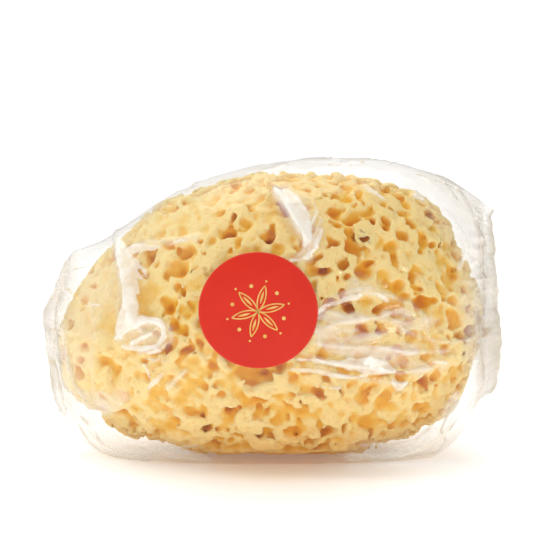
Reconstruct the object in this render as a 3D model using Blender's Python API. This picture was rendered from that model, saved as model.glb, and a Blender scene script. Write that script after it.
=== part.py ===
"""A natural sea sponge in a clear film wrap, with a round paper label on the front.

Metres, +Z up. +X runs along the length of the wrap, -Y is the front with the label.
The origin is the bottom centre of the bounding box.
"""

import math

import bmesh
import bpy
import numpy as np

MM = 0.001
CENTRING = 0.39  # moves everything back, so that the bounding box is centred with the label on

# ---- sponge body -------------------------------------------------------------
# The outline in the XZ plane: points (x, z in mm) that a smooth closed curve runs
# through, counted from the right end over the top. Below SPONGE_FLOOR it is cut flat.
BODY_CENTRE = (2.0, 46.0)
BODY_OUTLINE = (
    (69, 45), (67, 57), (62, 68), (57, 79), (50, 86), (40, 90), (29, 93), (11, 95),
    (-6, 94), (-23, 90), (-40, 82), (-51, 71), (-63, 58), (-70, 46), (-71, 33), (-67, 21),
    (-57, 13), (-45, 6), (-26, 0), (-8, -2), (2, -3), (20, -1), (33, 2), (48, 9), (58, 15), (64, 25),
)
BODY_HALF_DEPTH = 39.0
BODY_POWER = 2.15  # roundness of the depth profile
SPONGE_FLOOR = 0.85  # underside of the sponge, resting on the film
WAIST_X, WAIST_WIDTH, WAIST_DEPTH = -46.0, 5.5, 2.2  # the furrow before the small left lobe
BODY_RINGS, BODY_SEGMENTS = 30, 38

# ---- canals (pores) ----------------------------------------------------------
# Front canals: x, z of the mouth, mouth half-width, half-height (mm).
FRONT_PORES = (
    (-2, 77.5, 3.0, 3.0), (3.5, 87, 3.0, 3.6), (-13.5, 79, 2.8, 2.6), (-23, 76.5, 2.2, 2.2),
    (-16.5, 87, 2.2, 2.2), (-29.5, 80.5, 2.4, 2.4), (-36, 79, 2.8, 2.6), (15.5, 66, 2.2, 1.6),
    (30, 68, 2.4, 3.0), (36.5, 74.5, 2.0, 2.0), (44, 65, 2.0, 2.6), (40.5, 77.5, 2.8, 3.2),
    (44.5, 82.5, 2.6, 2.6), (36.5, 60.5, 2.6, 2.0), (24, 79, 1.6, 2.8), (7.2, 74, 2.8, 1.8),
    (-28, 60, 2.2, 2.0), (-31, 68, 2.8, 2.6), (-39.5, 71.5, 3.6, 3.0), (-49, 55, 2.0, 2.0),
    (-34.5, 55, 2.6, 3.6), (-27.5, 41, 2.6, 2.2), (-26.5, 32.5, 2.4, 2.4), (-20, 37, 2.4, 3.0),
    (-6.5, 33.5, 5.6, 3.0), (6.5, 32, 2.0, 2.8), (15.5, 40.5, 2.2, 1.9), (30, 27, 2.6, 2.2),
    (48.5, 31, 2.6, 2.6), (47.5, 55.5, 2.6, 2.6), (60, 46, 2.6, 2.6), (25, 55, 2.2, 1.8),
    (30, 47.5, 3.6, 2.2), (-22.5, 20.5, 2.0, 2.6), (-12.5, 15, 2.0, 2.2), (-3, 24.5, 3.6, 2.2),
    (40.5, 22.5, 2.2, 2.0), (21.5, 17, 2.4, 1.8), (8, 18, 2.0, 2.0), (33, 85, 4.6, 2.0),
)
# Canals that open on the top, the back and the ends: direction (degrees in the
# XZ plane), y of the mouth, mouth half-size (mm).
OTHER_PORES = (
    (60, -8, 3.0), (78, 6, 3.4), (95, -6, 3.0), (112, 8, 3.0), (128, -9, 2.8), (145, 4, 3.0),
    (165, -6, 2.8), (190, 5, 3.0), (212, 12, 2.6), (12, 3, 3.0), (338, 8, 2.8), (40, 10, 3.2),
)
BACK_PORES = (
    (-44, 62, 3.2), (-38, 40, 3.0), (-24, 74, 3.2), (-18, 52, 3.6), (-22, 28, 3.0), (-2, 84, 3.0),
    (0, 64, 3.4), (2, 38, 3.6), (8, 20, 2.8), (20, 76, 3.2), (24, 52, 3.4), (28, 30, 3.0),
    (44, 70, 3.0), (48, 44, 3.2),
)
PORE_SIDES = 6

# ---- film wrap ---------------------------------------------------------------
# Stations along X: x, top edge, bottom edge (mm). Below z = 0 it lies flat on the floor.
FILM_STATIONS = (
    (-76.8, 65.0, 15.0), (-73.6, 67.0, 12.0), (-70.0, 68.5, 9.0), (-64.0, 69.5, 4.5),
    (-56.0, 72.0, 0.0), (-46.0, 79.0, -2.5), (-34.0, 86.8, -3.5), (-20.0, 93.2, -4.5),
    (-4.0, 97.4, -5.0), (12.0, 99.4, -5.0), (28.0, 99.6, -4.5), (42.0, 97.8, -3.0),
    (54.0, 94.0, -1.0), (62.0, 90.0, 5.0), (68.0, 86.0, 12.0), (73.0, 83.5, 18.0),
    (76.8, 82.0, 21.0),
)
FILM_WALL = 0.35
FILM_SLACK = 1.5  # film stands this far off the sponge at its closest
FIN_HALF = 0.65  # half-thickness of the pressed ends, slit included
FIN_FROM = (-73.4, 73.4)
FILM_LENGTHS, FILM_SEGMENTS = 26, 34

# ---- label -------------------------------------------------------------------
LABEL_CENTRE = (-4.6, 54.0)
LABEL_RADIUS = 19.0
LABEL_THICK = 0.30
LABEL_GAP = 0.5
LABEL_RINGS, LABEL_SEGMENTS = 3, 36


def outline_radius(theta):
    """Radius of the outline at the angle theta, smooth and periodic."""
    x, z = np.array(BODY_OUTLINE, float).T
    x, z = x - BODY_CENTRE[0], z - BODY_CENTRE[1]
    at, r = np.arctan2(z, x) % (2 * np.pi), np.hypot(x, z)
    order = np.argsort(at)
    at, r = at[order], r[order]
    at = np.concatenate([at[-2:] - 2 * np.pi, at, at[:3] + 2 * np.pi])
    r = np.concatenate([r[-2:], r, r[:3]])
    theta = np.asarray(theta) % (2 * np.pi)
    i = np.clip(np.searchsorted(at, theta, side="right") - 1, 1, len(at) - 3)
    span = at[i + 1] - at[i]
    t = (theta - at[i]) / span
    m0 = (r[i + 1] - r[i - 1]) / (at[i + 1] - at[i - 1]) * span
    m1 = (r[i + 2] - r[i]) / (at[i + 2] - at[i]) * span
    return (
        (2 * t**3 - 3 * t**2 + 1) * r[i] + (t**3 - 2 * t**2 + t) * m0
        + (3 * t**2 - 2 * t**3) * r[i + 1] + (t**3 - t**2) * m1
    )


def body_distance(p):
    """Below 1 inside the sponge, above 1 outside; p is (..., 3) in mm."""
    x, y, z = p[..., 0] - BODY_CENTRE[0], p[..., 1], p[..., 2] - BODY_CENTRE[1]
    rho = np.hypot(x, z) / outline_radius(np.arctan2(z, x))
    return (rho**BODY_POWER + np.abs(y / BODY_HALF_DEPTH) ** BODY_POWER) ** (1.0 / BODY_POWER)


def body_point(d):
    """Where a ray from the middle of the body along the unit vector d leaves the sponge."""
    centre = np.array((BODY_CENTRE[0], 0.0, BODY_CENTRE[1]))
    t = 1.0 / body_distance(centre + d)
    p = centre + d * t[..., None]
    front = np.clip(-p[..., 1] / 18.0, 0.0, 1.0)
    furrow = WAIST_DEPTH * np.exp(-(((p[..., 0] - WAIST_X) / WAIST_WIDTH) ** 2)) * front
    swell = (
        0.6 * np.sin(p[..., 0] / 9.0 + 0.6) * np.sin(p[..., 2] / 8.0)
        + 0.4 * np.sin(p[..., 0] / 5.2 + p[..., 1] / 7.0) * np.sin(p[..., 2] / 6.1 + 1.0)
    )
    edge = np.clip(np.abs(p[..., 1]) / 14.0, 0.0, 1.0)
    p = p - d * (furrow + 0.8 - swell * edge)[..., None]
    p[..., 2] = np.maximum(p[..., 2], SPONGE_FLOOR)
    return p


def body_normal(p):
    h = 0.4
    g = np.array([
        body_distance(p + np.eye(3)[k] * h) - body_distance(p - np.eye(3)[k] * h)
        for k in range(3)
    ])
    return g / np.linalg.norm(g)


def front_y(x, z, side=-1.0):
    """y of the sponge's front (side -1) or back (side 1) surface at x, z."""
    dx, dz = x - BODY_CENTRE[0], z - BODY_CENTRE[1]
    rho = min(np.hypot(dx, dz) / outline_radius(np.arctan2(dz, dx)), 0.97)
    return side * BODY_HALF_DEPTH * (1.0 - rho**BODY_POWER) ** (1.0 / BODY_POWER)


def add_object(name, points, faces):
    """A mesh object from points in mm, its faces turned outward."""
    mesh = bpy.data.meshes.new(name)
    moved = [(float(x) * MM, float(y + CENTRING) * MM, float(z) * MM) for x, y, z in points]
    mesh.from_pydata(moved, [], faces)
    mesh.update()
    bm = bmesh.new()
    bm.from_mesh(mesh)
    bmesh.ops.remove_doubles(bm, verts=bm.verts, dist=1e-6)
    bmesh.ops.recalc_face_normals(bm, faces=bm.faces)
    bm.to_mesh(mesh)
    bm.free()
    obj = bpy.data.objects.new(name, mesh)
    bpy.context.collection.objects.link(obj)
    return obj


def material(name, colour, roughness, alpha=1.0):
    mat = bpy.data.materials.new(name)
    mat.use_nodes = True
    shader = mat.node_tree.nodes["Principled BSDF"]
    shader.inputs["Base Color"].default_value = (*colour, 1.0)
    shader.inputs["Roughness"].default_value = roughness
    shader.inputs["Alpha"].default_value = alpha
    return mat


def smooth(obj):
    for face in obj.data.polygons:
        face.use_smooth = True


def ring_faces(rows, columns, start=0, flip=False):
    """Quads between consecutive closed rings of points."""
    faces = []
    for i in range(rows - 1):
        for j in range(columns):
            k = (j + 1) % columns
            quad = (
                start + i * columns + j,
                start + i * columns + k,
                start + (i + 1) * columns + k,
                start + (i + 1) * columns + j,
            )
            faces.append(quad[::-1] if flip else quad)
    return faces


# ---- sponge ------------------------------------------------------------------
def build_body():
    """Rings around the X axis, closed at both ends by a fan."""
    points, faces = [], []
    for i in range(1, BODY_RINGS):
        polar = math.pi * i / BODY_RINGS
        for j in range(BODY_SEGMENTS):
            a = 2 * math.pi * (j + 0.5 * (i % 2)) / BODY_SEGMENTS
            points.append((math.cos(polar), math.sin(polar) * math.sin(a), math.sin(polar) * math.cos(a)))
    points += [(1.0, 0.0, 0.0), (-1.0, 0.0, 0.0)]
    n = BODY_SEGMENTS
    rings = BODY_RINGS - 1
    for i in range(rings - 1):
        for j in range(n):
            k = (j + 1) % n
            a, b, c, d = i * n + j, i * n + k, (i + 1) * n + k, (i + 1) * n + j
            faces += [(a, b, c), (a, c, d)] if i % 2 else [(a, b, d), (b, c, d)]
    first, last = rings * n, rings * n + 1
    for j in range(n):
        k = (j + 1) % n
        faces.append((first, k, j))
        faces.append((last, (rings - 1) * n + j, (rings - 1) * n + k))
    return add_object("sponge", body_point(np.array(points)), faces)


def pore_frame(mouth):
    inward = -body_normal(mouth)
    side = np.cross(inward, (0.0, 0.0, 1.0))
    if np.linalg.norm(side) < 0.2:
        side = np.cross(inward, (0.0, 1.0, 0.0))
    side /= np.linalg.norm(side)
    return inward, side, np.cross(inward, side)


def pore_cutter(mouth, half_width, half_height, turn):
    """Points and faces of one canal: a flared mouth that narrows to a rounded bottom."""
    inward, side, up = pore_frame(mouth)
    size = 0.5 * (half_width + half_height)
    depth = 2.2 * size + 1.5
    rows = ((-2.2, 1.12), (0.5 * depth, 0.78), (depth, 0.42))
    points = []
    for along, scale in rows:
        for k in range(PORE_SIDES):
            a = 2 * math.pi * k / PORE_SIDES + turn
            points.append(
                mouth + inward * along + side * (half_width * scale * math.cos(a)) + up * (half_height * scale * math.sin(a))
            )
    faces = ring_faces(len(rows), PORE_SIDES)
    faces.append(tuple(range(PORE_SIDES)))
    faces.append(tuple(reversed(range((len(rows) - 1) * PORE_SIDES, len(rows) * PORE_SIDES))))
    return points, faces


def build_pores():
    mouths = []
    for x, z, w, h in FRONT_PORES:
        mouths.append((np.array((x, front_y(x, z), z), float), w, h))
    for x, z, r in BACK_PORES:
        mouths.append((np.array((x, front_y(x, z, 1.0), z), float), r, r * 0.9))
    for degrees, y, r in OTHER_PORES:
        a = math.radians(degrees)
        d = np.array((math.cos(a), 0.0, math.sin(a)))
        rho = (1.0 - abs(y / BODY_HALF_DEPTH) ** BODY_POWER) ** (1.0 / BODY_POWER)
        reach = float(outline_radius(np.array(a))) * rho
        p = np.array((BODY_CENTRE[0], y, BODY_CENTRE[1])) + d * reach
        mouths.append((p, r, r * 0.9))
    points, faces = [], []
    for index, (mouth, w, h) in enumerate(mouths):
        p, f = pore_cutter(mouth, w, h, 0.7 * index)
        faces += [tuple(len(points) + v for v in face) for face in f]
        points += p
    cutter = add_object("canals", points, faces)
    cutter.hide_render = True
    cutter.display_type = "WIRE"
    return cutter


# ---- film wrap ---------------------------------------------------------------
def film_rows(x):
    xs, tops, bottoms = (np.array(c) for c in zip(*FILM_STATIONS))
    return np.interp(x, xs, tops), np.interp(x, xs, bottoms)


def film_half_depth(x):
    """Half-depth of the wrap at x: clear of the sponge, pressed flat at both ends."""
    top, bottom = film_rows(x)
    zc, b = 0.5 * (top + bottom), 0.5 * (top - bottom)
    reach = 0.0
    for step in (-1.2, 0.0, 1.2):
        xs = np.full(181, x + step)
        zs = np.linspace(0.0, 99.0, 181)
        dx, dz = xs - BODY_CENTRE[0], zs - BODY_CENTRE[1]
        rho = np.hypot(dx, dz) / outline_radius(np.arctan2(dz, dx))
        inside = rho < 1.0
        y = np.where(inside, BODY_HALF_DEPTH * (1.0 - np.minimum(rho, 1.0) ** BODY_POWER) ** (1.0 / BODY_POWER), 0.0)
        room = np.sqrt(np.clip(1.0 - ((zs - zc) / b) ** 2, 0.02, 1.0))
        reach = max(reach, float((y / room)[inside].max()) if inside.any() else 0.0)
    return max(FIN_HALF, reach + FILM_SLACK) if reach > 0.0 else FIN_HALF


def smooth_step(t):
    t = min(max(t, 0.0), 1.0)
    return t * t * (3.0 - 2.0 * t)


def film_lengths():
    """Stations closer together towards both ends."""
    left, right = FILM_STATIONS[0][0], FILM_STATIONS[-1][0]
    u = np.linspace(-1.0, 1.0, FILM_LENGTHS - 2)
    x = 0.5 * (left + right) + 0.5 * (FIN_FROM[1] - FIN_FROM[0]) * np.sin(u * math.pi / 2)
    return [left, *x, right]


def build_film():
    rows = film_lengths()
    halves = [film_half_depth(x) if FIN_FROM[0] < x < FIN_FROM[1] else FIN_HALF for x in rows]
    for i in (1, len(rows) - 2):
        halves[i] = FIN_HALF
    smoothed = list(halves)
    for i in range(3, len(rows) - 3):
        smoothed[i] = max(halves[i], 0.25 * halves[i - 1] + 0.5 * halves[i] + 0.25 * halves[i + 1])
    walls = []
    for inset in (0.0, FILM_WALL):
        points = []
        for x, half in zip(rows, smoothed):
            top, bottom = film_rows(x)
            zc, b = 0.5 * (top + bottom), 0.5 * (top - bottom)
            for j in range(FILM_SEGMENTS):
                a = 2 * math.pi * (j + 0.5) / FILM_SEGMENTS
                y = (half - inset) * math.sin(a)
                z = zc + (b - inset) * math.cos(a)
                points.append((x, y, max(z, inset)))
        walls.append(points)
    n, m = len(rows), FILM_SEGMENTS
    faces = ring_faces(n, m) + ring_faces(n, m, start=n * m, flip=True)
    for row in (0, n - 1):
        for j in range(m):
            k = (j + 1) % m
            faces.append((row * m + j, row * m + k, n * m + row * m + k, n * m + row * m + j))
    return add_object("film_wrap", walls[0] + walls[1], faces), rows, smoothed


def film_front(x, z, rows, halves):
    """y of the film's outer front surface."""
    half = float(np.interp(x, rows, halves))
    top, bottom = film_rows(x)
    t = (z - 0.5 * (top + bottom)) / (0.5 * (top - bottom))
    return -half * math.sqrt(max(1.0 - t * t, 0.0))


# ---- label -------------------------------------------------------------------
def build_label(rows, halves):
    """A round label that follows the bulge of the film, a small gap in front of it."""
    cx, cz = LABEL_CENTRE
    spots = [(cx, cz)]
    for i in range(1, LABEL_RINGS + 1):
        r = LABEL_RADIUS * i / LABEL_RINGS
        for j in range(LABEL_SEGMENTS):
            a = 2 * math.pi * j / LABEL_SEGMENTS
            spots.append((cx + r * math.cos(a), cz + r * math.sin(a)))
    back = [(x, film_front(x, z, rows, halves) - LABEL_GAP, z) for x, z in spots]
    face = [(x, y - LABEL_THICK, z) for x, y, z in back]
    n, m = len(spots), LABEL_SEGMENTS
    faces = []
    for start, flip in ((0, True), (n, False)):
        for j in range(m):
            k = (j + 1) % m
            tri = (start, start + 1 + j, start + 1 + k)
            faces.append(tri[::-1] if flip else tri)
        faces += ring_faces(LABEL_RINGS, m, start=start + 1, flip=not flip)
    rim = 1 + (LABEL_RINGS - 1) * m
    for j in range(m):
        k = (j + 1) % m
        faces.append((rim + j, rim + k, n + rim + k, n + rim + j))
    return add_object("label", back + face, faces)


for old in list(bpy.data.objects):
    bpy.data.objects.remove(old, do_unlink=True)

sponge = build_body()
canals = build_pores()
cut = sponge.modifiers.new("canals", "BOOLEAN")
cut.operation = "DIFFERENCE"
cut.solver = "EXACT"
cut.object = canals
smooth(sponge)
sponge.data.materials.append(material("sponge_cream", (0.85, 0.62, 0.28), 0.9))

film, film_x, film_half = build_film()
smooth(film)
film.data.materials.append(material("clear_film", (0.95, 0.95, 0.95), 0.12, 0.25))

label = build_label(film_x, film_half)
smooth(label)
label.data.materials.append(material("red_paper", (0.72, 0.03, 0.025), 0.45))
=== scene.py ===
"""Looks of a natural sea sponge in a clear film wrap with a round paper label."""
import math

import bpy
import numpy as np
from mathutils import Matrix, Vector


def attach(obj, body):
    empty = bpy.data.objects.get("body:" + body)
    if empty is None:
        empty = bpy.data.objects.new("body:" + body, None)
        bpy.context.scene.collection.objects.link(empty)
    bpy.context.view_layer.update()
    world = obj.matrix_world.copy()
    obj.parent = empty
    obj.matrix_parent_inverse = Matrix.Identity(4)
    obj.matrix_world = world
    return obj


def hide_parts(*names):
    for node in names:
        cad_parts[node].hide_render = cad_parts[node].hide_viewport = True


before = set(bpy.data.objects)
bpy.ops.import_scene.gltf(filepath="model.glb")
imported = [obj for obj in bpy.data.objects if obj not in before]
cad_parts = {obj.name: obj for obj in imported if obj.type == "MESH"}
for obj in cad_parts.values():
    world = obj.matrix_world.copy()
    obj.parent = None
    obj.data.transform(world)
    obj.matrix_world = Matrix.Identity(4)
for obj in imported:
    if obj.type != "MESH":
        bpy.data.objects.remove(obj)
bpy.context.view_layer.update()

MM = 0.001
CENTRING = 0.39  # y shift of the model, mm
RNG = np.random.default_rng(11)

# ---- camera (mm), the photograph's viewing angle -----------------------------
CAM_DISTANCE = 760.0
CAM_ELEVATION = math.radians(7.0)
CAM_TARGET = (-0.83, 0.0, 62.3)
PX_PER_MM = 3.0  # at the target, in a 540 x 540 frame

# ---- the body's envelope, as in the solid ------------------------------------
# The outline in the XZ plane: points (x, z in mm) that a smooth closed curve runs
# through, counted from the right end over the top. Below SPONGE_FLOOR it is cut flat.
BODY_CENTRE = (2.0, 46.0)
BODY_OUTLINE = (
    (69, 45), (67, 57), (62, 68), (57, 79), (50, 86), (40, 90), (29, 93), (11, 95),
    (-6, 94), (-23, 90), (-40, 82), (-51, 71), (-63, 58), (-70, 46), (-71, 33), (-67, 21),
    (-57, 13), (-45, 6), (-26, 0), (-8, -2), (2, -3), (20, -1), (33, 2), (48, 9), (58, 15), (64, 25),
)
BODY_HALF_DEPTH = 39.0
BODY_POWER = 2.15
SPONGE_FLOOR = 0.85
WAIST_X, WAIST_WIDTH, WAIST_DEPTH = -46.0, 5.5, 2.2

VOXEL = 0.5
SPONGE_TRIANGLES = 360000  # both halves


def outline_radius(theta):
    """Radius of the outline at the angle theta, smooth and periodic."""
    x, z = np.array(BODY_OUTLINE, float).T
    x, z = x - BODY_CENTRE[0], z - BODY_CENTRE[1]
    at, r = np.arctan2(z, x) % (2 * np.pi), np.hypot(x, z)
    order = np.argsort(at)
    at, r = at[order], r[order]
    at = np.concatenate([at[-2:] - 2 * np.pi, at, at[:3] + 2 * np.pi])
    r = np.concatenate([r[-2:], r, r[:3]])
    theta = np.asarray(theta) % (2 * np.pi)
    i = np.clip(np.searchsorted(at, theta, side="right") - 1, 1, len(at) - 3)
    span = at[i + 1] - at[i]
    t = (theta - at[i]) / span
    m0 = (r[i + 1] - r[i - 1]) / (at[i + 1] - at[i - 1]) * span
    m1 = (r[i + 2] - r[i]) / (at[i + 2] - at[i]) * span
    return (
        (2 * t**3 - 3 * t**2 + 1) * r[i] + (t**3 - 2 * t**2 + t) * m0
        + (3 * t**2 - 2 * t**3) * r[i + 1] + (t**3 - t**2) * m1
    )


def body_ratio(x, y, z):
    """Below 1 inside the envelope, above 1 outside (mm)."""
    dx, dz = x - BODY_CENTRE[0], z - BODY_CENTRE[1]
    rho = np.hypot(dx, dz) / outline_radius(np.arctan2(dz, dx))
    return (rho**BODY_POWER + np.abs(y / BODY_HALF_DEPTH) ** BODY_POWER) ** (1.0 / BODY_POWER)


def envelope(x, y, z):
    """Distance to the sponge's smooth envelope, mm, negative inside."""
    t = np.maximum(body_ratio(x, y, z), 1e-4)
    r = np.sqrt((x - BODY_CENTRE[0]) ** 2 + y**2 + (z - BODY_CENTRE[1]) ** 2)
    front = np.clip(-y / 18.0, 0.0, 1.0)
    furrow = WAIST_DEPTH * np.exp(-(((x - WAIST_X) / WAIST_WIDTH) ** 2)) * front
    swell = 0.6 * np.sin(x / 9.0 + 0.6) * np.sin(z / 8.0) + 0.4 * np.sin(x / 5.2 + y / 7.0) * np.sin(z / 6.1 + 1.0)
    edge = np.clip(np.abs(y) / 14.0, 0.0, 1.0)
    return (r * (1.0 - 1.0 / t) + furrow + 0.15 - swell * edge) * 0.94


def envelope_normal(p):
    h = 0.5
    g = np.array([
        float(body_ratio(*(p + h * e)) - body_ratio(*(p - h * e))) for e in np.eye(3)
    ])
    return g / np.linalg.norm(g)


# ---- from a place in the photograph to the front of the body ------------------
def camera_axes():
    e = CAM_ELEVATION
    eye = np.array((CAM_TARGET[0], -CAM_DISTANCE * math.cos(e), CAM_TARGET[2] + CAM_DISTANCE * math.sin(e)))
    return eye, np.array((0.0, math.cos(e), -math.sin(e))), np.array((0.0, math.sin(e), math.cos(e)))


def sight(px, py):
    """Eye and direction of the line of sight through a place in the frame."""
    eye, forward, up = camera_axes()
    focal = PX_PER_MM * CAM_DISTANCE
    d = forward + np.array((1.0, 0.0, 0.0)) * (px - 270.0) / focal + up * (270.0 - py) / focal
    return eye, d / np.linalg.norm(d)


def on_body(px, py, swell=0.0):
    """The point of the body's front that the camera sees at px, py."""
    eye, d = sight(px, py)
    ts = np.linspace(CAM_DISTANCE - 60.0, CAM_DISTANCE + 30.0, 361)
    pts = eye + ts[:, None] * d
    ratio = body_ratio(pts[:, 0], pts[:, 1], pts[:, 2]) - swell
    inside = np.nonzero(ratio < 1.0)[0]
    i = inside[0] if len(inside) else int(np.argmin(ratio))
    return pts[i]


# ---- smooth noise on a grid ---------------------------------------------------
def spline_weights(count, start, step, scale):
    """Rows of cubic B-spline weights from a coarse lattice to grid places."""
    t = (start + step * np.arange(count)) / scale
    i = np.floor(t).astype(int)
    base = i.min() - 1
    w = np.zeros((count, i.max() + 3 - base), np.float32)
    f = t - i
    rows = np.arange(count)
    w[rows, i - 1 - base] = (1 - f) ** 3 / 6
    w[rows, i - base] = (3 * f**3 - 6 * f**2 + 4) / 6
    w[rows, i + 1 - base] = (-3 * f**3 + 3 * f**2 + 3 * f + 1) / 6
    w[rows, i + 2 - base] = f**3 / 6
    return w


def grid_noise(shape, start, step, scale, seed):
    """Smooth noise of about unit spread on a regular grid; scale is in mm, one number or one per axis."""
    scales = np.broadcast_to(np.array(scale, float), (3,))
    ws = [spline_weights(shape[k], start[k] + 500.0, step, scales[k]) for k in range(3)]
    lattice = np.random.default_rng(seed).standard_normal([w.shape[1] for w in ws]).astype(np.float32)
    out = np.tensordot(ws[0], lattice, (1, 0))
    out = np.einsum("jb,ibc->ijc", ws[1], out, optimize=True)
    out = out @ ws[2].T
    return out * 2.2


def blur(field, radius):
    """Box blur along each axis, twice."""
    out = field
    for _ in range(2):
        for axis in range(3):
            n = out.shape[axis]
            pad = [(0, 0)] * 3
            pad[axis] = (radius + 1, radius)
            c = np.cumsum(np.pad(out, pad, mode="edge"), axis=axis, dtype=np.float32)
            hi = np.take(c, np.arange(2 * radius + 1, 2 * radius + 1 + n), axis=axis)
            lo = np.take(c, np.arange(0, n), axis=axis)
            out = (hi - lo) / (2 * radius + 1)
    return out


# ---- surface from a field ------------------------------------------------------
def surface_nets(f, start, step):
    """Quads of the zero surface of a field on a regular grid."""
    inside = f < 0
    nx, ny, nz = (n - 1 for n in f.shape)
    cell = lambda i, j, k: (i * ny + j) * nz + k
    ids, places, quads = [], [], []
    for axis in range(3):
        lo = [slice(None)] * 3
        hi = [slice(None)] * 3
        lo[axis], hi[axis] = slice(0, -1), slice(1, None)
        a, b = inside[tuple(lo)], inside[tuple(hi)]
        i, j, k = np.nonzero(a != b)
        keep = np.ones(len(i), bool)
        for c, (v, n) in enumerate(zip((i, j, k), f.shape)):
            if c != axis:
                keep &= (v > 0) & (v < n - 1)
        i, j, k = i[keep], j[keep], k[keep]
        f0 = f[tuple(lo)][i, j, k]
        f1 = f[tuple(hi)][i, j, k]
        place = np.stack([i, j, k], 1).astype(np.float64)
        place[:, axis] += f0 / (f0 - f1)
        u, v = ((1, 2), (2, 0), (0, 1))[axis]
        corners = []
        for du, dv in ((-1, -1), (0, -1), (0, 0), (-1, 0)):
            c = [i.copy(), j.copy(), k.copy()]
            c[u] = c[u] + du
            c[v] = c[v] + dv
            corners.append(cell(*c))
            ids.append(corners[-1])
            places.append(place)
        q = np.stack(corners, 1)
        q[f0 > 0] = q[f0 > 0][:, ::-1]
        quads.append(q)
    ids, places, quads = np.concatenate(ids), np.concatenate(places), np.concatenate(quads)
    used, index = np.unique(ids, return_inverse=True)
    count = np.bincount(index).astype(float)
    points = np.stack([np.bincount(index, places[:, c]) / count for c in range(3)], 1)
    return np.array(start) + points * step, np.searchsorted(used, quads)


def largest_part(points, quads):
    """Drops the loose crumbs that carving leaves."""
    n = len(points)
    label = np.arange(n)
    edges = np.concatenate([quads[:, [0, 1]], quads[:, [1, 2]], quads[:, [2, 3]], quads[:, [3, 0]]])
    a, b = edges[:, 0], edges[:, 1]
    while True:
        low = np.minimum(label[a], label[b])
        before = label.copy()
        np.minimum.at(label, label[a], low)
        np.minimum.at(label, label[b], low)
        for _ in range(4):
            label = label[label]
        if np.array_equal(before, label):
            break
    root = np.bincount(label).argmax()
    keep = label == root
    quads = quads[keep[quads[:, 0]]]
    new = np.cumsum(keep) - 1
    return points[keep], new[quads]


def mesh_object(name, points, faces, smooth=True):
    """A mesh object from points in mm and quads or triangles."""
    points = np.asarray(points, float)
    faces = np.asarray(faces)
    mesh = bpy.data.meshes.new(name)
    mesh.vertices.add(len(points))
    shifted = (points + np.array((0.0, CENTRING, 0.0))) * MM
    mesh.vertices.foreach_set("co", shifted.astype(np.float32).ravel())
    per = faces.shape[1]
    mesh.loops.add(faces.size)
    mesh.loops.foreach_set("vertex_index", faces.astype(np.int32).ravel())
    mesh.polygons.add(len(faces))
    mesh.polygons.foreach_set("loop_start", np.arange(0, faces.size, per, dtype=np.int32))
    mesh.polygons.foreach_set("loop_total", np.full(len(faces), per, np.int32))
    mesh.update(calc_edges=True)
    mesh.validate()
    if smooth:
        mesh.polygons.foreach_set("use_smooth", np.ones(len(mesh.polygons), bool))
    obj = bpy.data.objects.new(name, mesh)
    bpy.context.scene.collection.objects.link(obj)
    return obj


def vertex_places(obj):
    co = np.zeros(len(obj.data.vertices) * 3, np.float32)
    obj.data.vertices.foreach_get("co", co)
    return co.reshape(-1, 3).astype(float) / MM - np.array((0.0, CENTRING, 0.0))


def set_attribute(obj, name, values):
    layer = obj.data.attributes.new(name, "FLOAT", "POINT")
    layer.data.foreach_set("value", np.asarray(values, np.float32))


def set_colour(obj, name, rgb):
    layer = obj.data.color_attributes.new(name, "FLOAT_COLOR", "POINT")
    rgba = np.concatenate([rgb, np.ones((len(rgb), 1))], 1)
    layer.data.foreach_set("color", rgba.astype(np.float32).ravel())


def sample(field, start, step, points):
    """Trilinear values of a grid at points."""
    g = (points - np.array(start)) / step
    g = np.clip(g, 0.0, np.array(field.shape) - 1.001)
    i = np.floor(g).astype(int)
    f = g - i
    out = 0.0
    for dx in (0, 1):
        for dy in (0, 1):
            for dz in (0, 1):
                w = (f[:, 0] if dx else 1 - f[:, 0]) * (f[:, 1] if dy else 1 - f[:, 1]) * (f[:, 2] if dz else 1 - f[:, 2])
                out = out + w * field[i[:, 0] + dx, i[:, 1] + dy, i[:, 2] + dz]
    return out


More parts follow.
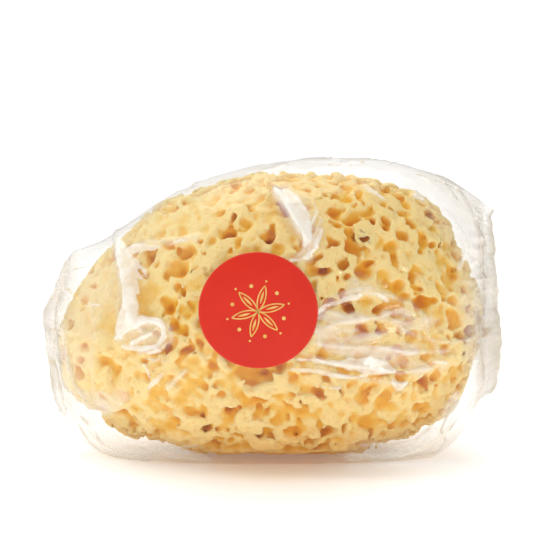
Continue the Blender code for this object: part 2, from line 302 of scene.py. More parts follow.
# ---- canals ---------------------------------------------------------------------
# Canals on the front, measured in the frame: x, y, half-width, half-height (px),
# how deep the hole runs (1 = about twice its radius), and its turn in degrees.
FRONT_CANALS = (
    (267, 237, 9.5, 8.5, 1.5, 20), (286, 209, 10, 12, 1.1, 0), (230, 231, 8.5, 8, 1.4, 0), (236, 247, 3, 7, 1.0, 0),
    (199, 240, 6, 5, 1.2, 15), (220, 208, 6.5, 6, 0.8, 0), (180, 228, 8, 6, 0.7, 30), (158, 231, 8, 9, 0.6, 20),
    (150, 209, 7, 5, 0.5, 0), (176, 225, 6, 5, 0.6, 0), (322, 273, 6, 3.5, 1.3, 0), (367, 267, 7, 9, 1.5, 0),
    (387, 247, 5, 5, 1.3, 0), (396, 257, 5, 6, 1.2, 0), (411, 276, 5, 7, 1.2, 0), (400, 236, 8, 10, 0.9, 0),
    (413, 222, 8, 8, 0.8, 0), (387, 290, 8, 5, 1.1, 0), (355, 212, 24, 4.5, 0.55, 3), (342, 195, 7, 4, 1.0, 10),
    (358, 201, 4.5, 4, 1.1, 0), (320, 193, 4, 3, 0.7, 0), (349, 233, 3.5, 9, 1.1, 10), (297, 249, 8, 4, 0.9, -8),
    (272, 254, 3, 3, 0.8, 0), (185, 292, 6.5, 5, 1.4, 0), (175, 268, 9, 7, 0.8, 20), (148, 256, 11, 10, 0.7, 0),
    (184, 252, 9, 10, 0.8, 0), (193, 306, 7, 10, 0.9, 0), (163, 307, 9, 12, 0.9, 10), (171, 322, 9.5, 5, 1.3, -30),
    (147, 311, 5, 3.5, 1.3, 0), (118, 308, 5, 5, 0.9, 0), (186, 350, 8.5, 6, 1.6, 15), (201, 343, 4, 4, 1.3, 0),
    (157, 352, 10, 4, 0.9, 12), (135, 337, 11, 3.5, 1.2, 28), (210, 363, 7, 10, 1.0, 0), (190, 377, 8, 7, 0.8, 0),
    (253, 374, 19, 11, 0.65, 0), (292, 379, 5, 7, 1.3, -30), (322, 354, 7, 5, 1.6, 0), (367, 395, 9, 6.5, 1.1, 0),
    (424, 383, 8, 8, 1.0, 0), (407, 362, 9, 3.5, 1.2, 0), (403, 373, 4.5, 4, 1.3, 0), (387, 392, 6, 2.5, 0.9, 20),
    (350, 308, 7, 5.5, 1.4, 0), (390, 305, 24, 6, 1.0, 8), (366, 331, 14, 6, 0.9, 6), (385, 331, 6, 5, 1.2, 0),
    (422, 307, 8.5, 8, 1.0, 0), (443, 323, 8, 4.5, 1.0, 0), (462, 337, 7, 7, 0.9, 0), (202, 416, 5, 9, 1.0, 10),
    (233, 432, 5, 6, 0.9, 0), (272, 433, 3, 7, 1.0, 0), (285, 410, 3, 3, 1.2, 0), (263, 403, 12, 6, 0.7, 0),
    (250, 397, 6, 2.5, 0.9, 0), (350, 432, 5, 3, 0.9, 0), (400, 407, 6, 5, 0.8, 0), (300, 300, 6, 6, 0.8, 0),
    (230, 375, 6, 4, 0.8, 30), (320, 395, 7, 5, 0.7, 0), (338, 412, 6, 5, 0.7, 20), (445, 300, 5, 5, 0.8, 0),
    (452, 268, 5, 6, 0.7, 0), (440, 250, 5, 4, 0.7, 0), (335, 215, 4, 3, 0.8, 0), (255, 205, 5, 4, 0.7, 0),
    (310, 262, 5, 3, 0.8, 0), (415, 340, 5, 4, 0.9, 0), (432, 352, 5, 4, 0.8, 0), (345, 372, 6, 4, 0.8, 0),
    (90, 300, 7, 6, 0.5, 0), (85, 345, 8, 6, 0.5, 0), (105, 370, 8, 6, 0.6, 0), (80, 372, 6, 5, 0.5, 0),
    (130, 395, 7, 5, 0.7, 0), (150, 380, 6, 5, 0.8, 0), (165, 400, 6, 5, 0.8, 0), (100, 325, 6, 5, 0.5, 0),
)


def carve(field, warp, start, step, a, b, ra, rb, blend, side=None, stretch=1.0):
    """Takes a tapered round-ended canal from a to b out of the field, its edge rounded by blend."""
    a, b = np.asarray(a, float), np.asarray(b, float)
    reach = max(ra, rb) * max(stretch, 1.0) + blend + 1.6
    lo = np.floor((np.minimum(a, b) - reach - np.array(start)) / step).astype(int)
    hi = np.ceil((np.maximum(a, b) + reach - np.array(start)) / step).astype(int) + 1
    lo = np.maximum(lo, 0)
    hi = np.minimum(hi, field.shape)
    if (hi <= lo).any():
        return
    s = tuple(slice(l, h) for l, h in zip(lo, hi))
    x = [start[c] + step * np.arange(lo[c], hi[c], dtype=np.float32) for c in range(3)]
    px = x[0][:, None, None] + warp[0][s] - a[0]
    py = x[1][None, :, None] + warp[1][s] - a[1]
    pz = x[2][None, None, :] + warp[2][s] - a[2]
    if side is not None and stretch != 1.0:
        along = (px * side[0] + py * side[1] + pz * side[2]) * (1.0 / stretch - 1.0)
        px, py, pz = px + along * side[0], py + along * side[1], pz + along * side[2]
    d = b - a
    length2 = float(d @ d)
    if length2 > 1e-6:
        h = np.clip((px * d[0] + py * d[1] + pz * d[2]) / length2, 0.0, 1.0)
    else:
        h = np.zeros_like(px)
    dist = np.sqrt((px - h * d[0]) ** 2 + (py - h * d[1]) ** 2 + (pz - h * d[2]) ** 2) - (ra + h * (rb - ra))
    f = field[s]
    other = -dist
    k = np.maximum(blend - np.abs(f - other), 0.0) / blend
    field[s] = np.maximum(f, other) + k * k * blend * 0.25


def scattered(spacing, tries, rng, allowed=None):
    """Places on the envelope at least spacing apart."""
    chosen = np.zeros((0, 3))
    centre = np.array((BODY_CENTRE[0], 0.0, BODY_CENTRE[1]))
    d = rng.standard_normal((tries, 3)) * (1.25, 0.9, 1.0)
    d /= np.linalg.norm(d, axis=1)[:, None]
    p = centre + d / body_ratio(*(centre + d).T)[:, None]
    p = p[p[:, 2] > SPONGE_FLOOR + 1.0]
    for q in p:
        if allowed is not None and not allowed(q):
            continue
        if not len(chosen) or ((chosen - q) ** 2).sum(1).min() > spacing * spacing:
            chosen = np.vstack([chosen, q])
    return chosen


def frame_at(p):
    inward = -envelope_normal(p)
    side = np.cross(inward, (0.0, 0.0, 1.0))
    if np.linalg.norm(side) < 0.2:
        side = np.cross(inward, (0.0, 1.0, 0.0))
    side /= np.linalg.norm(side)
    return inward, side, np.cross(inward, side)


def bore(field, warp, start, step, mouth, half_w, half_h, depth, turn, rng):
    """One canal: a shallow flared bowl, a curving hole inside it, and a few side pockets."""
    inward, side, up = frame_at(mouth)
    t = math.radians(turn)
    major = side * math.cos(t) + up * math.sin(t)
    if half_w < half_h:
        half_w, half_h = half_h, half_w
        major = side * -math.sin(t) + up * math.cos(t)
    r = half_h
    stretch = half_w / half_h
    # bowl
    carve(field, warp, start, step, mouth - inward * r * 0.35, mouth + inward * r * 0.35, r * 1.18, r * 0.85, 1.0, major, stretch)
    # hole
    lean = (side * rng.normal() + up * rng.normal()) * 0.22
    way = inward + lean
    way /= np.linalg.norm(way)
    at = mouth + major * rng.normal() * 0.12 * half_w
    reach = r * (0.7 * depth if depth < 1.05 else 0.3 + 0.75 * depth)
    mid = at + way * reach * 0.5
    bend = (side * rng.normal() + up * rng.normal()) * 0.25 * r
    end = mid + way * reach * 0.5 + bend
    inner = 1.0 + (stretch - 1.0) * 0.75
    carve(field, warp, start, step, at, mid, r * 0.86, r * 0.74, 0.6, major, inner)
    carve(field, warp, start, step, mid, end, r * 0.74, r * 0.5, 0.5, major, 1.0 + (stretch - 1.0) * 0.5)
    # side pockets
    for _ in range(2 if depth > 0.75 else 1):
        a = rng.uniform(0, 2 * math.pi)
        out = side * math.cos(a) + up * math.sin(a)
        pocket = mid + out * r * 0.75 + inward * rng.uniform(-0.2, 0.5) * r
        rr = r * rng.uniform(0.28, 0.48)
        carve(field, warp, start, step, mid, pocket + out * r * 0.5, rr, rr * 0.8, 0.4)


def build_sponge():
    step = VOXEL
    start = np.array((-73.0, -41.0, 0.0))
    size = np.array((145.0, 82.0, 98.0))
    shape = tuple(int(math.ceil(s / step)) for s in size)
    axes = [start[c] + step * np.arange(shape[c], dtype=np.float32) for c in range(3)]
    X, Y, Z = np.meshgrid(*axes, indexing="ij", sparse=False)
    base = envelope(X, Y, Z).astype(np.float32)
    # the body swells at both ends and dips on the upper left
    ends = 1.1 * np.clip((-X - 56.0) / 10.0, 0.0, 1.0) * np.exp(-(((Z - 34.0) / 20.0) ** 2))
    ends += 1.3 * np.clip((X - 56.0) / 9.0, 0.0, 1.0) * np.exp(-(((Z - 50.0) / 20.0) ** 2))
    dip = 1.5 * np.exp(-(((X + 20.0) / 15.0) ** 2)) * np.clip((Z - 66.0) / 16.0, 0.0, 1.0)
    base = base - ends.astype(np.float32) + dip.astype(np.float32)
    field = base.copy()
    low = np.clip((30.0 - Z) / 16.0, 0.0, 1.0)  # the knobbly underside

    n9 = grid_noise(shape, start, step, 8.5, 1)
    n5 = grid_noise(shape, start, step, 4.4, 2)
    n3 = grid_noise(shape, start, step, 2.7, 6)
    # the lower front is knobbly, the outline tufted
    knobs = np.clip((52.0 - Z) / 26.0, 0.0, 1.0) * np.clip((X + 62.0) / 14.0, 0.0, 1.0)
    field -= 0.6 * n9 + 0.4 * n5 + low * 0.4 * n5 + (0.3 + 0.62 * knobs) * n3
    warp = [
        (1.0 * grid_noise(shape, start, step, 4.6, 20 + c) + 0.5 * grid_noise(shape, start, step, 1.9, 30 + c)).astype(np.float32)
        for c in range(3)
    ]

    rng = np.random.default_rng(5)
    front_spots = np.array([on_body(c[0], c[1]) for c in FRONT_CANALS])

    # shallow cups that leave a web of pale ridges between them; the small lobe has few
    for p in scattered(4.7, 9000, rng):
        lobe = p[0] < -47.0
        if lobe and rng.uniform() < 0.72:
            continue
        inward, side, up = frame_at(p)
        r = rng.uniform(1.3, 2.9) * (0.85 if lobe else 1.0)
        if p[1] < -10.0 and p[2] > 58.0 and p[0] < 0.0:
            r *= 0.82
        if p[2] < 36.0:
            r *= 0.76
        sink = rng.uniform(-0.65, -0.05) * r
        turn = rng.uniform(0.0, math.pi)
        carve(field, warp, start, step, p + inward * sink, p + inward * (sink + 0.6), r, r * 0.92, 0.6, side * math.cos(turn) + up * math.sin(turn), rng.uniform(1.0, 1.6))

    # canals: measured ones on the front, grown ones everywhere else
    for (px, py, hw, hh, depth, turn), mouth in zip(FRONT_CANALS, front_spots):
        bore(field, warp, start, step, mouth, hw / 3.15, hh / 3.15, depth, -turn, rng)

    def unseen(q):
        return ((front_spots - q) ** 2).sum(1).min() > 60.0 and not (q[1] < -16.0 and q[2] > 20.0)

    for p in scattered(9.5, 4200, rng, unseen):
        r = float(np.clip(rng.lognormal(0.85, 0.28), 1.3, 4.2))
        bore(field, warp, start, step, p, r * rng.uniform(1.0, 1.45), r * rng.uniform(0.8, 1.0), rng.uniform(0.7, 1.5), rng.uniform(0, 180), rng)

    # small holes
    for p in scattered(4.9, 9000, rng):
        if p[0] < -47.0 and rng.uniform() < 0.7:
            continue
        inward, side, up = frame_at(p)
        r = float(np.clip(rng.lognormal(-0.25, 0.38), 0.4, 1.6 if p[2] > 36.0 else 0.95))
        lean = inward + (side * rng.normal() + up * rng.normal()) * 0.35
        a = p + side * rng.normal() * 0.6
        carve(field, warp, start, step, a, a + lean * (r * 0.8 + 0.5), r, r * 0.8, 0.5)

    n2 = grid_noise(shape, start, step, 2.0, 3)
    n1 = grid_noise(shape, start, step, 1.15, 4)
    rim = np.clip(1.0 - np.abs(base) / 3.0, 0.25, 1.0)
    tufts = np.exp(-((Y / 13.0) ** 2)) * np.clip((Z - 3.0) / 6.0, 0.0, 1.0) * np.clip((X + 66.0) / 12.0, 0.25, 1.0)
    field -= (0.26 + 0.72 * knobs + 1.0 * tufts) * rim * n2 + (0.16 + 0.3 * knobs + 0.48 * tufts) * n1 * rim
    rise = 0.26 * np.clip(-Y - 4.0, 0.0, None) + 0.12 * np.clip(np.abs(X - 3.0) - 18.0, 0.0, None)
    rise += 3.0 * np.exp(-(((X + 41.0) / 8.0) ** 2)) + 2.4 * np.exp(-(((X - 37.0) / 6.0) ** 2))
    jag = np.exp(-(((Y + 3.0) / 15.0) ** 2)) * np.clip((np.abs(X - 3.0) - 20.0) / 10.0, 0.0, 1.0)
    field = np.maximum(field, (SPONGE_FLOOR - Z) + rise * 0.9 + 0.3 * n5 + (0.35 + 1.15 * jag) * n2 + 0.85 * jag * n1)
    field = np.maximum(field, SPONGE_FLOOR - Z)
    tips = np.clip((np.abs(X) - 60.0) / 6.0, 0.0, 1.0)
    field = np.maximum(field, base - (1.3 + 0.5 * tufts) * (1.0 - 0.75 * tips))

    for axis in range(3):  # closed where it would reach the grid's sides
        for last in (0, -1):
            face = [slice(None)] * 3
            face[axis] = last
            field[tuple(face)] = np.maximum(field[tuple(face)], 0.3)

    solid = np.clip(0.5 - field / (1.6 * step), 0.0, 1.0)
    near = blur(solid, max(1, int(round(1.3 / step))))
    wide = blur(solid, max(2, int(round(3.4 / step))))

    points, quads = surface_nets(field, start, step)
    points, quads = largest_part(points, quads)
    sponge = mesh_object("sea_sponge", points, quads)
    count = 2 * len(quads)
    if count > SPONGE_TRIANGLES:
        thin = sponge.modifiers.new("thin", "DECIMATE")
        thin.ratio = SPONGE_TRIANGLES / count
        bpy.context.view_layer.update()
        evaluated = sponge.evaluated_get(bpy.context.evaluated_depsgraph_get())
        mesh = bpy.data.meshes.new_from_object(evaluated)
        sponge.modifiers.clear()
        old = sponge.data
        sponge.data = mesh
        bpy.data.meshes.remove(old)
        mesh.name = "sea_sponge"
    places = vertex_places(sponge)
    set_attribute(sponge, "depth", np.clip(-sample(base, start, step, places) / 10.0, 0.0, 1.0))
    set_attribute(sponge, "hollow", np.clip(sample(near, start, step, places), 0.0, 1.0))
    set_attribute(sponge, "deep_hollow", np.clip(sample(wide, start, step, places), 0.0, 1.0))
    return split_body(sponge), (field, start, step)


def split_body(whole):
    """Two meshes that meet at y = 2 mm along shared edges, with the whole body's normals."""
    mesh = whole.data
    mesh.calc_loop_triangles()
    tris = np.zeros(len(mesh.loop_triangles) * 3, np.int32)
    mesh.loop_triangles.foreach_get("vertices", tris)
    tris = tris.reshape(-1, 3)
    normals = np.zeros(len(mesh.vertices) * 3, np.float32)
    mesh.vertex_normals.foreach_get("vector", normals)
    normals = normals.reshape(-1, 3)
    places = vertex_places(whole)
    values = {}
    for name in ("depth", "hollow", "deep_hollow"):
        values[name] = np.zeros(len(places), np.float32)
        mesh.attributes[name].data.foreach_get("value", values[name])
    ahead = places[tris][:, :, 1].mean(1) < 2.0
    halves = []
    for name, chosen in (("sea_sponge_front", ahead), ("sea_sponge_back", ~ahead)):
        used, index = np.unique(tris[chosen], return_inverse=True)
        half = mesh_object(name, places[used], index.reshape(-1, 3))
        for key, value in values.items():
            set_attribute(half, key, value[used])
        half.data.normals_split_custom_set_from_vertices(normals[used].tolist())
        print(name, len(half.data.polygons), "triangles")
        halves.append(half)
    bpy.data.objects.remove(whole, do_unlink=True)
    bpy.data.meshes.remove(mesh)
    return halves


# ---- materials --------------------------------------------------------------------
def new_material(name):
    mat = bpy.data.materials.new(name)
    mat.use_nodes = True
    nodes, links = mat.node_tree.nodes, mat.node_tree.links
    nodes.clear()
    out = nodes.new("ShaderNodeOutputMaterial")
    return mat, nodes, links, out


def linear(r, g, b):
    c = np.array((r, g, b), float) / 255.0
    return tuple(np.where(c <= 0.04045, c / 12.92, ((c + 0.055) / 1.055) ** 2.4))


def ramp(nodes, stops):
    node = nodes.new("ShaderNodeValToRGB")
    node.color_ramp.interpolation = "LINEAR"
    elements = node.color_ramp.elements
    while len(elements) > 2:
        elements.remove(elements[-1])
    for index, (at, colour) in enumerate(stops):
        e = elements[index] if index < 2 else elements.new(at)
        e.position = at
        e.color = (*colour, 1.0)
    return node


def attribute(nodes, name):
    node = nodes.new("ShaderNodeAttribute")
    node.attribute_name = name
    return node.outputs["Fac"]


def math_node(nodes, links, op, a, b=None, clamp=False):
    node = nodes.new("ShaderNodeMath")
    node.operation = op
    node.use_clamp = clamp
    for socket, value in zip(node.inputs, (a, b)):
        if value is None:
            continue
        if isinstance(value, (int, float)):
            socket.default_value = value
        else:
            links.new(value, socket)
    return node.outputs[0]


def mix_colour(nodes, links, fac, a, b, blend="MIX"):
    node = nodes.new("ShaderNodeMix")
    node.data_type = "RGBA"
    node.blend_type = blend
    for socket, value in ((node.inputs[0], fac), (node.inputs[6], a), (node.inputs[7], b)):
        if isinstance(value, (int, float)):
            socket.default_value = value
        elif isinstance(value, tuple):
            socket.default_value = (*value, 1.0)
        else:
            links.new(value, socket)
    return node.outputs[2]


def sponge_material():
    mat, nodes, links, out = new_material("sea_sponge")
    shader = nodes.new("ShaderNodeBsdfPrincipled")
    coords = nodes.new("ShaderNodeTexCoord").outputs["Object"]

    def noise(scale, detail=3.0, rough=0.55):
        n = nodes.new("ShaderNodeTexNoise")
        n.inputs["Scale"].default_value = scale
        n.inputs["Detail"].default_value = detail
        n.inputs["Roughness"].default_value = rough
        links.new(coords, n.inputs["Vector"])
        return n.outputs["Fac"]

    depth = attribute(nodes, "depth")
    hollow = attribute(nodes, "hollow")
    wide = attribute(nodes, "deep_hollow")
    # painted shade and bounce light in the hollows: the colour runs deeper orange and brown with how deep-seated a spot
    # is, its depth under the envelope and how much sponge is round it, plus a random mottle
    key = math_node(nodes, links, "MULTIPLY", depth, 0.85)
    w = math_node(nodes, links, "SUBTRACT", wide, 0.46)
    key = math_node(nodes, links, "ADD", key, math_node(nodes, links, "MULTIPLY", w, 1.1))
    h = math_node(nodes, links, "SUBTRACT", hollow, 0.5)
    key = math_node(nodes, links, "ADD", key, math_node(nodes, links, "MULTIPLY", h, 0.75))
    mottled = math_node(nodes, links, "SUBTRACT", noise(90.0), 0.5)
    key = math_node(nodes, links, "ADD", key, math_node(nodes, links, "MULTIPLY", mottled, 0.22), clamp=True)
    tone = ramp(nodes, (
        (0.0, linear(250, 225, 162)), (0.10, linear(248, 215, 136)), (0.22, linear(245, 202, 98)),
        (0.38, linear(241, 187, 62)), (0.6, linear(234, 165, 32)), (0.9, linear(216, 128, 8)),
    ))
    links.new(key, tone.inputs["Fac"])
    patches = noise(22.0, 2.0)
    warm = ramp(nodes, ((0.35, (1.0, 0.985, 0.95)), (0.68, (1.0, 0.93, 0.80))))
    links.new(patches, warm.inputs["Fac"])
    colour = mix_colour(nodes, links, 1.0, tone.outputs["Color"], warm.outputs["Color"], "MULTIPLY")
    # painted shade of tiny pits that the mesh doesn't have: small darker golden specks
    painted_pit_shade = nodes.new("ShaderNodeMapRange")
    links.new(noise(820.0, 2.0), painted_pit_shade.inputs["Value"])
    painted_pit_shade.inputs["From Min"].default_value = 0.56
    painted_pit_shade.inputs["From Max"].default_value = 0.70
    colour = mix_colour(nodes, links, math_node(nodes, links, "MULTIPLY", painted_pit_shade.outputs["Result"], 0.42), colour, linear(232, 172, 78))
    # scattered brown flecks
    fleck = nodes.new("ShaderNodeMapRange")
    links.new(noise(260.0, 2.0), fleck.inputs["Value"])
    fleck.inputs["From Min"].default_value = 0.66
    fleck.inputs["From Max"].default_value = 0.76
    fac = math_node(nodes, links, "MULTIPLY", fleck.outputs["Result"], 0.5)
    colour = mix_colour(nodes, links, fac, colour, linear(196, 134, 62))
    height = nodes.new("ShaderNodeSeparateXYZ")
    links.new(coords, height.inputs[0])
    # painted light: paler on the upper left shoulder, where the light falls from the upper left
    painted_light_shoulder = nodes.new("ShaderNodeMapRange")
    links.new(math_node(nodes, links, "SUBTRACT", height.outputs["Z"], height.outputs["X"]), painted_light_shoulder.inputs["Value"])
    painted_light_shoulder.inputs["From Min"].default_value = 0.088
    painted_light_shoulder.inputs["From Max"].default_value = 0.118
    fac = math_node(nodes, links, "MULTIPLY", painted_light_shoulder.outputs["Result"], 0.42)
    colour = mix_colour(nodes, links, fac, colour, linear(254, 238, 192))
    # painted shade: darker and browner towards the bottom, where it stands on the table
    painted_contact_shade = nodes.new("ShaderNodeMapRange")
    links.new(height.outputs["Z"], painted_contact_shade.inputs["Value"])
    painted_contact_shade.inputs["From Min"].default_value = 0.016
    painted_contact_shade.inputs["From Max"].default_value = 0.001
    colour = mix_colour(nodes, links, painted_contact_shade.outputs["Result"], colour, mix_colour(nodes, links, 1.0, colour, (0.90, 0.74, 0.52), "MULTIPLY"))
    links.new(colour, shader.inputs["Base Color"])
    shader.inputs["Roughness"].default_value = 0.78
    shader.inputs["Specular IOR Level"].default_value = 0.22
    shader.inputs["Subsurface Weight"].default_value = 0.45
    shader.inputs["Subsurface Radius"].default_value = (1.0, 0.8, 0.45)
    shader.inputs["Subsurface Scale"].default_value = 0.0026
    bump = nodes.new("ShaderNodeBump")
    bump.inputs["Strength"].default_value = 0.55
    bump.inputs["Distance"].default_value = 0.0005
    fine = math_node(nodes, links, "ADD", noise(900.0, 2.0), math_node(nodes, links, "MULTIPLY", noise(420.0, 2.0), 1.3))
    links.new(fine, bump.inputs["Height"])
    links.new(bump.outputs["Normal"], shader.inputs["Normal"])
    links.new(shader.outputs["BSDF"], out.inputs["Surface"])
    return mat


# ---- film wrap ------------------------------------------------------------------------
FILM_STATIONS = np.array((
    (-76.8, 65.0, 15.0), (-73.6, 67.0, 12.0), (-70.0, 68.5, 9.0), (-64.0, 69.5, 4.5),
    (-56.0, 72.0, 0.0), (-46.0, 79.0, -2.5), (-34.0, 86.8, -3.5), (-20.0, 93.2, -4.5),
    (-4.0, 97.4, -5.0), (12.0, 99.4, -5.0), (28.0, 99.6, -4.5), (42.0, 97.8, -3.0),
    (54.0, 94.0, -1.0), (62.0, 90.0, 5.0), (68.0, 86.0, 12.0), (73.0, 83.5, 18.0),
    (76.8, 82.0, 21.0),
))
FILM_SLACK = 0.75
FIN_FROM = (-73.4, 73.4)
# where the cut ends of the film run: z, x (mm)
LEFT_EDGE = ((10.0, -71.0), (16.0, -72.5), (24.0, -74.6), (37.0, -75.6), (47.0, -76.8), (56.0, -73.0), (62.0, -70.5), (70.0, -67.0))
RIGHT_EDGE = ((16.0, 70.0), (22.0, 75.2), (30.0, 76.0), (36.0, 76.8), (52.0, 75.2), (70.0, 74.0), (80.0, 73.0), (84.0, 74.5))
FILM_LENGTHS, FILM_ROUND = 296, 330

# Folds of the film, followed in the frame (px): points, height and half-width in mm,
# and how much the crease has whitened.
FOLDS = (
    (((134, 247), (150, 243), (175, 243), (198, 238)), 1.1, 1.0, 0.35),
    (((118, 232), (120, 262), (124, 290), (131, 318), (142, 330)), 1.0, 1.6, 0.30),
    (((142, 322), (160, 322), (171, 329), (172, 340), (160, 348), (140, 352)), 1.1, 1.1, 0.40),
    (((133, 341), (150, 332), (158, 328)), 0.7, 0.7, 0.25),
    (((140, 366), (152, 362), (170, 360)), 0.6, 0.6, 0.20),
    (((168, 388), (176, 380), (186, 370)), 0.9, 1.0, 0.45),
    (((275, 191), (284, 202), (293, 216), (300, 230), (306, 238)), 1.5, 1.8, 0.50),
    (((321, 222), (315, 236), (306, 250), (292, 260), (282, 262)), 1.0, 0.8, 0.40),
    (((302, 196), (312, 206), (320, 220)), 0.7, 0.9, 0.15),
    (((318, 306), (332, 298), (350, 291), (370, 288), (392, 297)), 1.0, 0.9, 0.35),
    (((316, 330), (340, 322), (372, 318), (404, 322), (430, 316)), 0.9, 1.0, 0.25),
    (((312, 343), (340, 346), (376, 346), (410, 352), (446, 350)), 1.0, 1.1, 0.35),
    (((300, 352), (330, 362), (362, 366), (400, 372), (430, 368)), 0.9, 0.9, 0.40),
    (((318, 368), (344, 376), (372, 380), (404, 384)), 0.8, 0.9, 0.30),
    (((392, 297), (410, 303), (424, 318), (428, 336), (440, 352)), 0.7, 1.0, 0.20),
    (((330, 312), (350, 318), (380, 316), (400, 308)), 0.6, 0.6, 0.20),
    (((402, 330), (424, 338), (450, 342), (472, 338)), 0.7, 0.9, 0.25),
    (((350, 270), (368, 278), (388, 284)), 0.5, 0.6, 0.10),
    (((365, 184), (374, 190), (382, 198)), 0.6, 0.6, 0.30),
    (((430, 196), (446, 214), (458, 236), (466, 262)), 0.9, 1.2, 0.15),
    (((448, 196), (470, 218), (486, 246)), 0.8, 1.0, 0.15),
    (((80, 275), (92, 300), (96, 330), (92, 360), (96, 390)), 0.8, 1.1, 0.12),
    (((62, 300), (66, 340), (70, 380), (82, 415)), 0.8, 1.0, 0.12),
    (((90, 410), (112, 428), (140, 440), (170, 449)), 1.0, 1.2, 0.12),
    (((100, 430), (122, 444), (150, 452)), 0.8, 0.9, 0.12),
    (((446, 402), (430, 424), (412, 440), (390, 449)), 1.0, 1.1, 0.15),
    (((470, 392), (454, 410), (446, 428), (436, 446)), 0.8, 0.9, 0.15),
    (((470, 300), (476, 330), (472, 360), (462, 386)), 0.8, 1.1, 0.15),
    (((196, 200), (222, 188), (250, 182)), 0.6, 0.8, 0.10),
    (((140, 392), (160, 405), (186, 420)), 0.6, 0.9, 0.08),
    (((236, 384), (262, 390), (292, 384)), 0.5, 0.8, 0.08),
)


# Painted highlights: bands of film that shine white, followed in the frame: x, y, half-width (px).
GLARE = (
    ((120, 243, 4), (125, 256, 8), (130, 272, 9), (131, 290, 8), (131, 306, 8), (126, 322, 9), (120, 334, 5)),
    ((128, 250, 4), (140, 249, 2.5), (156, 249, 1.6), (172, 246, 1.4), (182, 242, 1.2), (198, 243, 0.9)),
    ((134, 262, 4), (144, 270, 2), (147, 277, 0.8)), ((136, 274, 4), (146, 281, 1)), ((136, 290, 5), (143, 297, 1.5)),
    ((116, 338, 2.5), (128, 328, 4), (142, 321, 4), (155, 319, 3.4), (164, 325, 3), (165, 336, 2.6), (158, 345, 2.4), (144, 349, 2.2), (124, 347, 2)),
    ((124, 347, 1.2), (138, 341, 1.4), (152, 334, 1.0)),
    ((148, 353, 0.9), (162, 350, 0.9)), ((144, 358, 0.9), (156, 360, 1.2), (164, 356, 0.8)),
    ((148, 389, 1.0), (156, 381, 3), (163, 374, 2)), ((144, 364, 1.5), (148, 372, 2), (150, 378, 1)),
    ((276, 193, 2), (286, 198, 6), (294, 206, 8), (301, 217, 8), (306, 229, 6), (306, 240, 3), (304, 247, 1)),
    ((314, 204, 1), (317, 213, 1.8), (312, 224, 1.5), (306, 236, 1.2)),
    ((322, 222, 1.2), (321, 234, 1.6), (316, 247, 1.8), (307, 258, 1.8), (296, 261, 1.2), (286, 261, 0.8)),
    ((363, 186, 0.9), (374, 193, 1.6), (383, 199, 0.9)),
    ((318, 313, 1.4), (325, 306, 1.8), (341, 301, 2.2), (356, 297, 2.2), (366, 293, 1.8), (376, 294, 2.2), (387, 300, 1.6)),
    ((292, 359, 1.0), (314, 360, 1.6), (336, 363, 3), (352, 364, 7), (368, 365, 9), (382, 367, 7), (393, 370, 2)),
    ((292, 369, 1.4), (309, 370, 1.6), (331, 375, 1.8), (352, 376, 2.2), (366, 374, 2)),
    ((392, 381, 3), (399, 387, 4.5), (405, 382, 2.5)), ((414, 194, 4), (421, 198, 2)),
    ((452, 234, 1.6), (457, 244, 1.8), (460, 256, 1.4), (456, 267, 2)), ((426, 364, 1.2), (436, 362, 1.6), (447, 363, 0.9)),
    ((452, 412, 0.8), (440, 430, 1.8), (420, 443, 2.4), (398, 449, 1.2)), ((84, 305, 0.8), (92, 304, 1.4), (100, 306, 0.7)), ((317, 386, 0.8), (340, 388, 1.0)),
)
# Painted sheen: soft whitish veils where the film catches light; how strong, how soft their edge (mm), then x, y,
# half-width (px).
SHEEN_STROKES = (
    (0.17, 6.0, ((70, 372, 14), (84, 320, 22), (100, 282, 22), (124, 250, 16))),
    (0.34, 1.6, ((348, 296, 4), (356, 286, 9), (364, 288, 8), (370, 294, 4))),
    (0.42, 1.2, ((321, 314, 3), (348, 319, 5), (375, 317, 5), (399, 311, 4), (414, 318, 4))),
    (0.40, 1.2, ((316, 330, 3), (336, 332, 3), (356, 330, 2))),
    (0.40, 1.2, ((314, 341, 3), (338, 341, 4), (360, 338, 5), (384, 332, 4))),
    (0.46, 1.4, ((330, 347, 3), (350, 351, 5), (372, 354, 6), (396, 352, 6), (412, 350, 4))),
    (0.30, 1.6, ((394, 320, 4), (404, 327, 6), (420, 324, 6), (436, 322, 4))),
    (0.30, 1.6, ((400, 360, 5), (420, 370, 5), (430, 366, 5), (446, 366, 3))),
    (0.26, 1.8, ((118, 245, 8), (124, 280, 11), (126, 310, 11), (122, 334, 8))),
    (0.30, 1.5, ((142, 334, 14), (152, 334, 14))),
    (0.26, 2.6, ((464, 284, 7), (472, 322, 9), (470, 362, 8))),
    (0.34, 2.2, ((282, 196, 8), (300, 215, 13), (308, 240, 8))),
    (0.26, 1.5, ((312, 226, 6), (314, 244, 7), (304, 258, 5))),
    (0.34, 2.0, ((60, 392, 7), (84, 400, 12), (108, 402, 12), (122, 396, 7))),
    (0.20, 2.2, ((66, 300, 7), (62, 330, 7), (60, 360, 7))),
    (0.28, 1.4, ((88, 410, 5), (110, 430, 9), (144, 443, 9), (184, 452, 7), (206, 458, 3))),
    (0.46, 1.4, ((456, 396, 4), (444, 418, 7), (418, 441, 9), (392, 449, 7), (350, 456, 3))),
    (0.30, 2.0, ((60, 400, 8), (72, 420, 9), (92, 438, 6))),
    (0.40, 2.0, ((72, 258, 4), (94, 248, 4), (116, 236, 4), (138, 216, 3), (160, 200, 2))),
    (0.16, 2.5, ((420, 200, 6), (444, 222, 8), (460, 250, 8), (468, 290, 6))),
)
